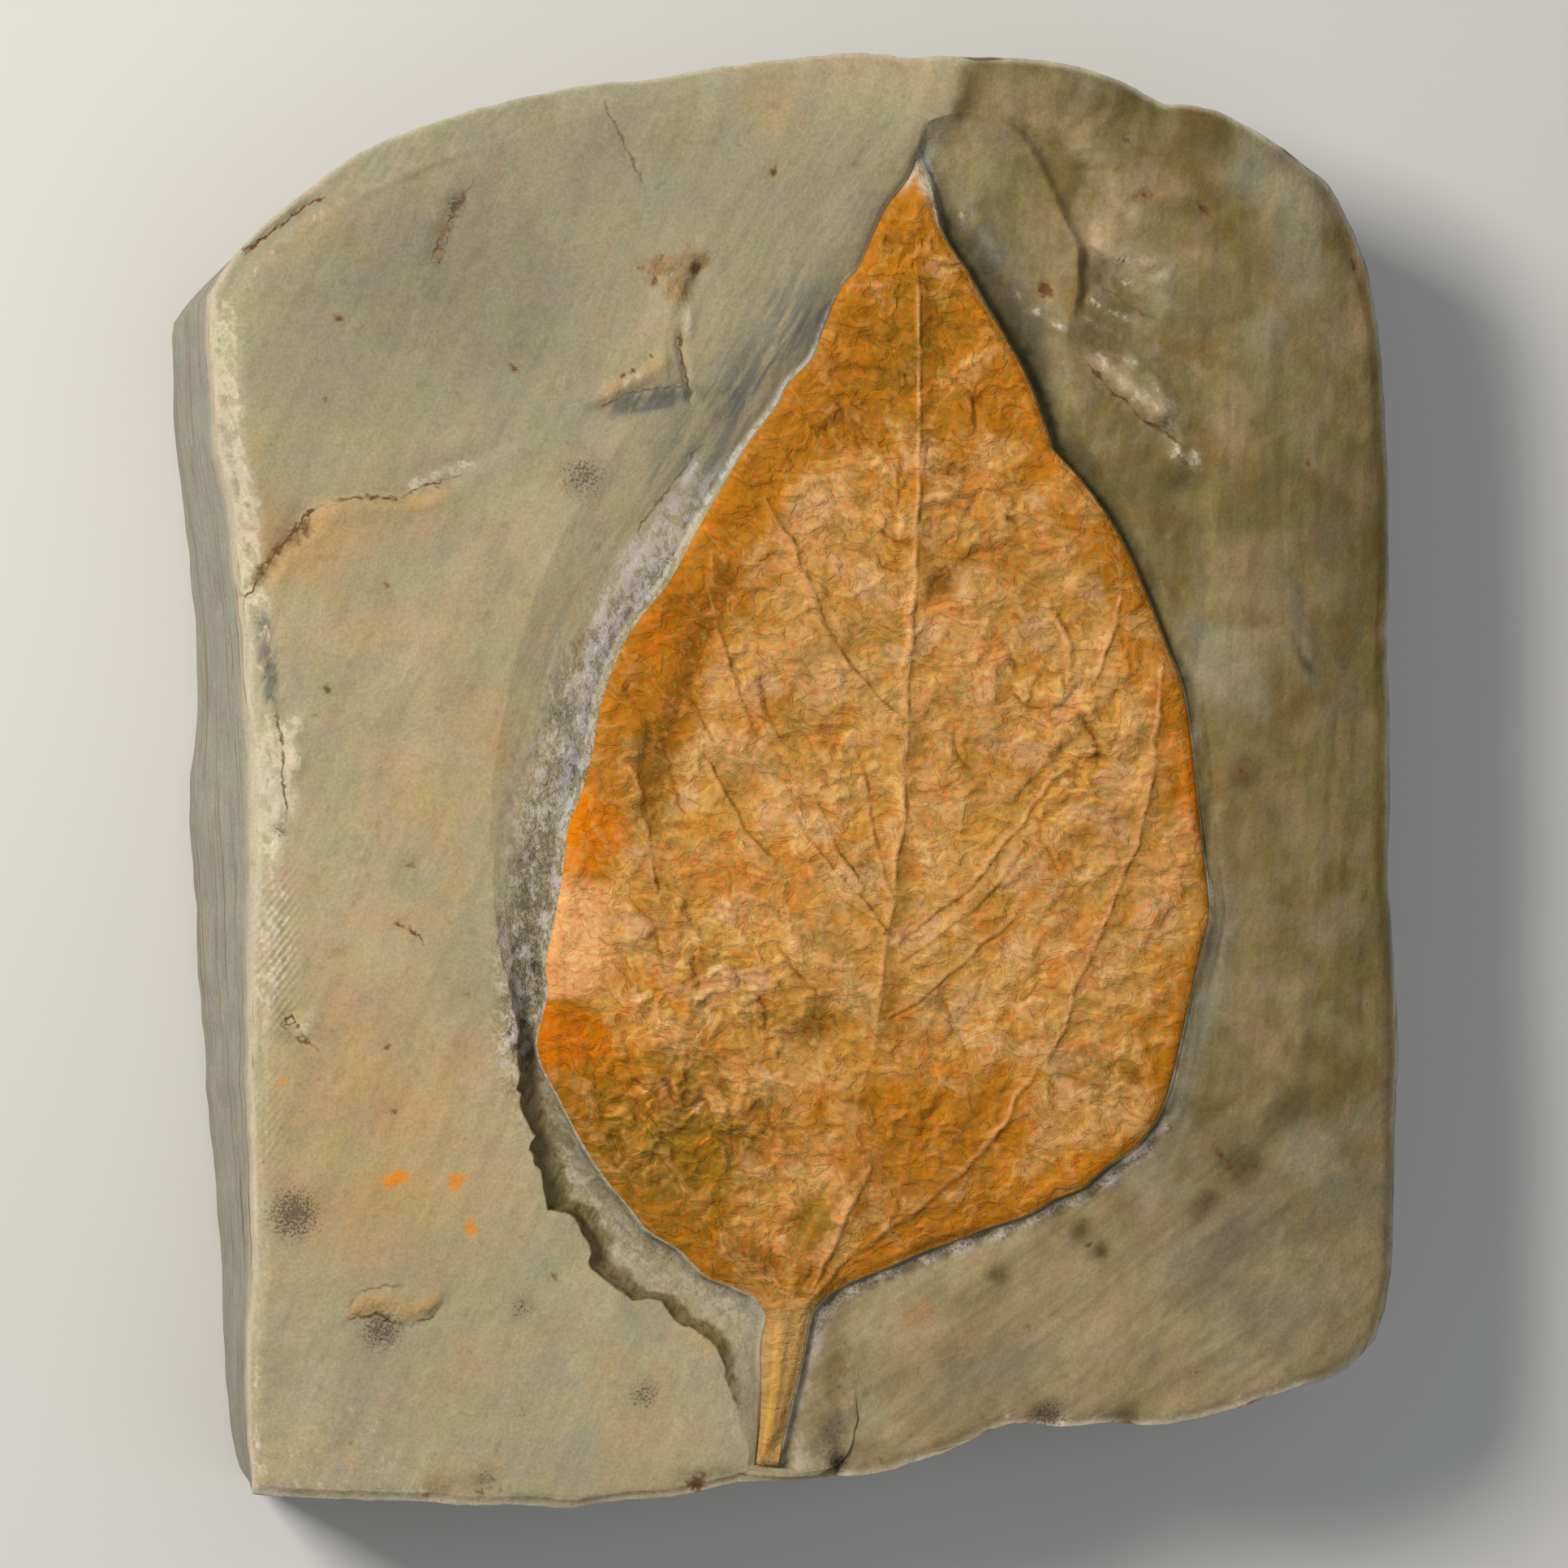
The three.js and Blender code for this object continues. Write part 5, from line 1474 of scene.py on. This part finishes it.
def wires(name, lines):
    """Bare lines in the plane, for a node tree to measure from."""
    places = []
    edges = []
    for line in lines:
        smooth = smooth_line(line, 6 * len(line))
        edges += [(len(places) + k, len(places) + k + 1) for k in range(len(smooth) - 1)]
        places += [(x * MM, y * MM, 0) for x, y in smooth]
    wire_mesh = bpy.data.meshes.new(name)
    wire_mesh.from_pydata(places, edges, [])
    wire = bpy.data.objects.new(name, wire_mesh)
    bpy.context.collection.objects.link(wire)
    return wire


# The pressing tree: ribs stand up from the film, creases cut it, and the folds, flakes and wrinkles
# of a crumpled sheet run between them. They fade at the margin and where the film is smooth.
MIDRIB_X = 8.5
HALVES_APART = 60
midrib_wire = wires("midrib_line", [MIDRIB[1:]])
rib_wire = wires("side_rib_lines", SIDE_RIBS)
crease_wire = wires("crease_lines", CREASES)
film = bpy.data.materials.new("leaf_stain")
given = start_tree("press_leaf", (
    "Midrib Height", "Rib Height", "Crease Depth", "Fold Height", "Plate Height", "Flake Height",
    "Wrinkle Height"), ("Midrib", "Side Ribs", "Creases"))


def vectors(operation, first, second):
    """One step of arithmetic on two vectors."""
    return put("ShaderNodeVectorMath", {0: first, 1: second}, operation=operation).outputs[0]


def shaken(noise, amount):
    """How far three noises push a place about in the plane of the film."""
    return vectors("MULTIPLY", vectors("SUBTRACT", noise, (0.5, 0.5, 0.5)),
                   (amount * MM, amount * MM, 0))


def wander(noise, width):
    """Thin wandering lines, where a soft noise passes through its middle."""
    off_middle = away_from(noise, 0.5)
    return span(off_middle, 0, width, 1, 0)


def plates(where, size):
    """Flat plates that meet in cracks: how far each place is from a crack, in millimetres, a
    random number for each plate, and the height of its slightly tilted top."""
    inputs = {"Vector": where, "Scale": 1 / (size * MM)}
    crack = put("ShaderNodeTexVoronoi", inputs, voronoi_dimensions="2D",
                feature="DISTANCE_TO_EDGE").outputs["Distance"]
    cell = put("ShaderNodeTexVoronoi", inputs, voronoi_dimensions="2D").outputs
    lean = vectors("SUBTRACT", cell["Color"], (0.5, 0.5, 0.5))
    away = vectors("SUBTRACT", where, cell["Position"])
    top = put("ShaderNodeVectorMath", {0: lean, 1: away}, operation="DOT_PRODUCT")
    return times(crack, size), part_of(cell["Color"], 2), times(top.outputs[1], 1 / MM)


def crumpled(place):
    """The soft noises and the plates of a crumpled sheet, the same in the relief and in the
    colour. The longer ones slant down towards the midrib on both halves."""
    flat = vectors("MULTIPLY", place, (1, 1, 0))
    noise = three_clouds(flat, 3.6, 2)
    warped = vectors("ADD", flat, shaken(noise, 3.2))
    bent = vectors("ADD", flat, shaken(noise, 2))
    from_midrib = minus(part_of(warped, 0), MIDRIB_X * MM)
    left_half = sums("LESS_THAN", from_midrib, 0)
    halves = put("ShaderNodeCombineXYZ", {
        0: sums("ABSOLUTE", from_midrib),
        1: plus(part_of(warped, 1), times(left_half, HALVES_APART * MM))}).outputs[0]
    return {"plates": plates(turned(halves, (0, 0, -50), (1.35, 0.8, 1)), 3.4),
            "scales": plates(turned(bent, (0, 0, 20), (1.3, 0.8, 1)), 1.7),
            "folds": clouds(flat, 8, 2),
            "flakes": clouds(turned(halves, (0, 0, -50), (1.7, 0.75, 1)), 4.2, 2, 0.5),
            "wrinkles": clouds(turned(warped, (0, 0, 15), (1.5, 0.8, 1)), 1.7, 3, 0.55),
            "crush": clouds(turned(warped, (0, 0, -25), (1.6, 0.8, 1)), 1.3, 3, 0.55),
            "gate": span(clouds(flat, 5.4, 2), 0.42, 0.58),
            "other_gate": span(clouds(warped, 3.7, 2), 0.44, 0.6)}


def gap_to(wire, size, amount):
    """How far the film is from the nearest of some lines, made to waver, in millimetres: plain,
    and with the right-hand side of the line positive and its left-hand side negative."""
    lines = put("GeometryNodeObjectInfo", {"Object": wire}).outputs["Geometry"]
    sample = vectors("ADD", flat_place, shaken(three_clouds(flat_place, size, 1), amount))
    near = put("GeometryNodeProximity", {0: lines, "Sample Position": sample},
               target_element="EDGES")
    gap = times(near.outputs["Distance"], 1 / MM)
    across = part_of(vectors("SUBTRACT", sample, near.outputs["Position"]), 0)
    return gap, times(gap, sums("SIGN", across))


def add_up(*terms):
    """Sum of numbers, each times its height."""
    return plus(*[times(number, height) for number, height in terms])


place = put("GeometryNodeInputPosition").outputs[0]
flat_place = vectors("MULTIPLY", place, (1, 1, 0))
midrib_gap, midrib_side = gap_to(given["Midrib"], 5, 0.7)
rib_gap, rib_side = gap_to(given["Side Ribs"], 2.4, 1.1)
crease_gap, crease_side = gap_to(given["Creases"], 1.7, 1.5)
fading = span(clouds(flat_place, 3.1, 1), 0.38, 0.6, 0.55, 1.15)
sheet = crumpled(place)
crumpling = named("crumpling")
folds = minus(sheet["folds"], 0.5)
flake_steps = span(sheet["flakes"], 0.4, 0.6, -0.5, 0.5)
flake_cuts = times(wander(sheet["flakes"], 0.045), sheet["gate"])
wrinkle_steps = span(sheet["wrinkles"], 0.4, 0.6, -0.5, 0.5)
wrinkle_cuts = times(wander(sheet["wrinkles"], 0.07), sheet["other_gate"])
plate_crack, _, plate_top = sheet["plates"]
scale_crack, _, scale_top = sheet["scales"]
plate_top = times(plate_top, span(plate_crack, 0, 0.5))
scale_top = times(scale_top, span(scale_crack, 0, 0.4))
crumple = add_up((flake_steps, given["Flake Height"]),
                 (plate_top, given["Plate Height"]),
                 (times(scale_top, sheet["other_gate"]), given["Plate Height"]),
                 (flake_cuts, times(given["Crease Depth"], -0.6)),
                 (wrinkle_steps, given["Wrinkle Height"]),
                 (wrinkle_cuts, times(given["Wrinkle Height"], -1)))
crushed = away_from(sheet["crush"], 0.5)
crushed = times(span(crushed, 0, 0.12, -0.35, 0.35), span(crumpling, 0.6, 1.05, 0.12, 1))
crumple = plus(crumple, times(crushed, given["Wrinkle Height"]))
crumple = times(crumple, crumpling)
crumple = plus(crumple, times(folds, given["Fold Height"]))
keep_smooth = span(named("smooth_film"), 0.1, 0.9, 1, 0.12)
crumple = times(crumple, keep_smooth)
midrib_top = times(span(midrib_gap, 0, 0.42, 1, 0), named("midrib_show"))
ribs = add_up((midrib_top, given["Midrib Height"]),
              (span(rib_gap, 0, 0.45, 1, 0), given["Rib Height"]),
              (span(crease_gap, 0, 0.45, 1, 0), times(given["Crease Depth"], -1)))
ribs = times(ribs, fading)
inside = span(named("inset"), 0.1, 1.6)
relief = times(plus(crumple, ribs), inside)
relief = times(sums("MAXIMUM", relief, -DEEPEST_RELIEF * MM), named("top"))
lift = put("ShaderNodeCombineXYZ", {2: relief}).outputs[0]
pressed = put("GeometryNodeSetPosition", {"Geometry": given["Geometry"], "Offset": lift}).outputs[0]
for name, value in (("midrib_gap", midrib_gap), ("midrib_side", midrib_side),
                    ("rib_gap", rib_gap), ("rib_side", rib_side), ("crease_gap", crease_gap),
                    ("crease_side", crease_side), ("fading", fading),
                    ("relief", times(relief, 1 / MM))):
    pressed = put("GeometryNodeStoreNamedAttribute",
                  {"Geometry": pressed, "Name": name, "Value": value}).outputs[0]
end_tree(pressed, film)
apply_tree(leaf, {
    "Midrib": midrib_wire, "Side Ribs": rib_wire, "Creases": crease_wire,
    "Midrib Height": MIDRIB_HEIGHT * MM, "Rib Height": RIB_HEIGHT * MM,
    "Crease Depth": CREASE_DEPTH * MM, "Fold Height": FOLD_HEIGHT * MM,
    "Plate Height": PLATE_HEIGHT * MM, "Flake Height": FLAKE_HEIGHT * MM,
    "Wrinkle Height": WRINKLE_HEIGHT * MM})
for wire in (midrib_wire, rib_wire, crease_wire):
    wire_mesh = wire.data
    bpy.data.objects.remove(wire)
    bpy.data.meshes.remove(wire_mesh)

# The film's colours. Tan and pink on what stands up and orange and brown in what lies low are
# partly painted highlight and painted shade on its relief.
PAPER = (214, 164, 102)
PAPER_PINK = (225, 163, 102)
PAPER_GREY = (186, 156, 100)
PINK_GREY = (206, 160, 114)
ORANGE = (204, 122, 40)
DRY_OLIVE = (152, 118, 56)
GOLD = (192, 138, 58)
GOLDEN_BROWN = (172, 106, 12)
SAFFRON = (203, 110, 0)
LEAF_OLIVE = (134, 100, 20)
LEAF_BROWN = (116, 72, 10)
CREASE_BROWN = (130, 82, 20)
STREAK_YELLOW = (208, 160, 80)
RED_SPECK = (206, 100, 44)
GREEN_SPECK = (140, 126, 58)
STALK_TAN = (176, 142, 84)
RIB_FAINT_UP_TO = 12
RIB_PLAIN_FROM = 24
FILM_GRAIN_HEIGHT = 0.13
FILM_SHINE = 0.05

film.use_nodes = True
tree = film.node_tree
where = put("ShaderNodeTexCoord").outputs["Object"]
sheet = crumpled(where)
broad = clouds(where, 11, 2, 0.5, 0.5)
patches = clouds(where, 4.6, 4, 0.6, 0.6)
mottling = clouds(where, 1.9, 4, 0.65, 0.8)
fibres = clouds(where, 0.6, 4, 0.7)
relief = mark("relief")
crumpling = mark("crumpling")
skin = mixed(span(relief, -0.25, 0.25), colour(GOLD), colour(PAPER))
plate_crack, plate_dice, _ = sheet["plates"]
scale_crack, scale_dice, _ = sheet["scales"]
layer(span(plate_dice, 0.6, 0.9, 0, 0.3), PAPER_PINK)
layer(span(plate_dice, 0.4, 0.1, 0, 0.3), GOLD)
layer(times(span(scale_dice, 0.6, 0.9, 0, 0.35), sheet["other_gate"]), PAPER_GREY)
layer(span(mottling, 0.5, 0.72, 0, 0.5), PAPER_GREY)
layer(span(patches, 0.46, 0.66, 0, 0.75), GOLD)
stains = three_clouds(where, 5, 3, 0.6)
layer(span(part_of(stains, 0), 0.53, 0.62, 0, 0.7), PINK_GREY)
layer(span(part_of(stains, 1), 0.53, 0.66, 0, 0.65), ORANGE)
layer(span(part_of(stains, 2), 0.53, 0.66, 0, 0.5), DRY_OLIVE)
layer(span(clouds(where, 1.1, 3, 0.6), 0.6, 0.7, 0, 0.6), ORANGE)
golden = plus(mark("golden"), span(patches, 0.3, 0.7, -0.5, 0.45))
layer(span(golden, 0.1, 0.9, 0, 0.92), GOLDEN_BROWN)
saffron = plus(mark("saffron"), span(mottling, 0.3, 0.7, -0.4, 0.3))
layer(span(saffron, 0.15, 0.9, 0, 0.97), SAFFRON)
pink = plus(mark("pink"), span(mottling, 0.3, 0.7, -0.25, 0.15))
layer(span(pink, 0.15, 0.9, 0, 0.92), PAPER_PINK)
olive = plus(mark("olive"), span(mottling, 0.3, 0.7, -0.5, 0.3))
layer(span(olive, 0.05, 0.9, 0, 0.8), LEAF_OLIVE)
umber = plus(mark("umber"), span(fibres, 0.3, 0.7, -0.4, 0.3))
layer(span(umber, 0.2, 1, 0, 0.8), LEAF_BROWN)
specks = three_clouds(where, 0.7, 1, 0.65)
layer(span(part_of(specks, 0), 0.55, 0.7, 0, 0.4), RED_SPECK)
layer(span(part_of(specks, 1), 0.55, 0.7, 0, 0.4), GREEN_SPECK)
# Painted shade in brown beside the midrib
beside_midrib = times(span(mark("midrib_side"), 0.2, 0.7),
                      span(mark("midrib_side"), 0.8, 2.6, 1, 0))
layer(times(beside_midrib, span(patches, 0.35, 0.6, 0.1, 0.5)), LEAF_BROWN)
# Thin brown lines between the plates, and in the cuts and wrinkles, finer than the relief, with a
# painted highlight in pink beside each cut and wrinkle
jagged = times(minus(fibres, 0.5), 0.35)
plate_line = span(plus(plate_crack, jagged), 0.03, 0.32, 1, 0)
scale_line = span(plus(scale_crack, jagged), 0.02, 0.2, 1, 0)
plate_line = times(plate_line, span(part_of(stains, 1), 0.42, 0.6))
scale_line = times(scale_line, sheet["other_gate"])
broken = span(mottling, 0.35, 0.6, 0.25, 1)
layer(times(plate_line, crumpling, 0.55), CREASE_BROWN)
layer(times(scale_line, crumpling, 0.2), CREASE_BROWN)
for noise, width, gate, strength in ((sheet["flakes"], 0.025, sheet["gate"], 0.4),
                                     (sheet["wrinkles"], 0.04, sheet["other_gate"], 0.12)):
    line = times(wander(noise, width), gate)
    line = times(line, times(crumpling, broken))
    layer(times(line, strength), CREASE_BROWN)
    lit = times(span(noise, 0.51, 0.55), span(noise, 0.55, 0.6, 1, 0))
    layer(times(lit, times(gate, 0.5 * strength)), PAPER_PINK)
# A painted highlight along each rib, with painted shade in brown along its right-hand side and a
# soft painted shadow beyond it. The highlight is fainter on the leaf's left half.
right_half = span(part_of(where, 0), RIB_FAINT_UP_TO * MM, RIB_PLAIN_FROM * MM, 0.35, 1)
for name, light, dark in (("midrib", 0.6, 0.65), ("rib", 0.8, 0.75), ("crease", 0.0, 0.7)):
    side = mark(name + "_side")
    close = span(mark(name + "_gap"), 0.46, 0.66, 1, 0)
    shade_at = 0.0 if name == "crease" else 0.38
    dark_line = span(away_from(side, shade_at), 0.04, 0.24, dark, 0)
    shown = mark("fading")
    if name == "midrib":
        shown = times(shown, mark("midrib_show"))
    close = times(close, shown)
    shadow = span(away_from(side, shade_at), 0.1, 0.8, 0.2 * dark, 0)
    layer(times(shadow, shown), LEAF_BROWN)
    layer(times(dark_line, close, broken), CREASE_BROWN)
    if light:
        light_line = span(sums("ABSOLUTE", side), 0.02, 0.3, light, 0)
        light_line = times(light_line, right_half if name == "rib" else 1)
        layer(times(light_line, close), PAPER_PINK)
layer(times(mark("stalk"), span(fibres, 0.3, 0.6, 0.3, 0.8)), STALK_TAN)
layer(span(mark("streak"), 0.2, 0.9, 0, 0.9), STREAK_YELLOW)
layer(mark("chalk"), CREAM)
lit_by(0.5, fibres, 0.2, 0.8, 0.36, 0.64)
lit_by(0.5, broad, 0.3, 0.7, 0.4, 0.6)
# Painted light and shade on the crushed relief: lighter on its ridges and darker in its hollows
lit_by(span(crumpling, 0.5, 1.05, 0.1, 0.5), away_from(sheet["crush"], 0.5), 0, 0.14, 0.34, 0.66)
# Each fold and wrinkle is painted lighter on its upper left side, which faces the lamp, and darker
# on the other: painted highlight and painted shade
beyond = crumpled(vectors("ADD", where, (-0.3 * MM, 0.3 * MM, 0)))
for name, strength in (("flakes", 0.42), ("wrinkles", 0.5), ("crush", 0.35)):
    slope = minus(sheet[name], beyond[name])
    lit_by(times(crumpling, strength), slope, -0.13, 0.13, 0.27, 0.73)
bumps = add_up((fibres, 0.8), (mottling, 0.9), (wander(sheet["wrinkles"], 0.05), -0.4))
all_over(span(mottling, 0.2, 0.8, 0.7, 0.9), bumps, FILM_GRAIN_HEIGHT, FILM_SHINE)

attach(leaf, "root")
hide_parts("leaf")
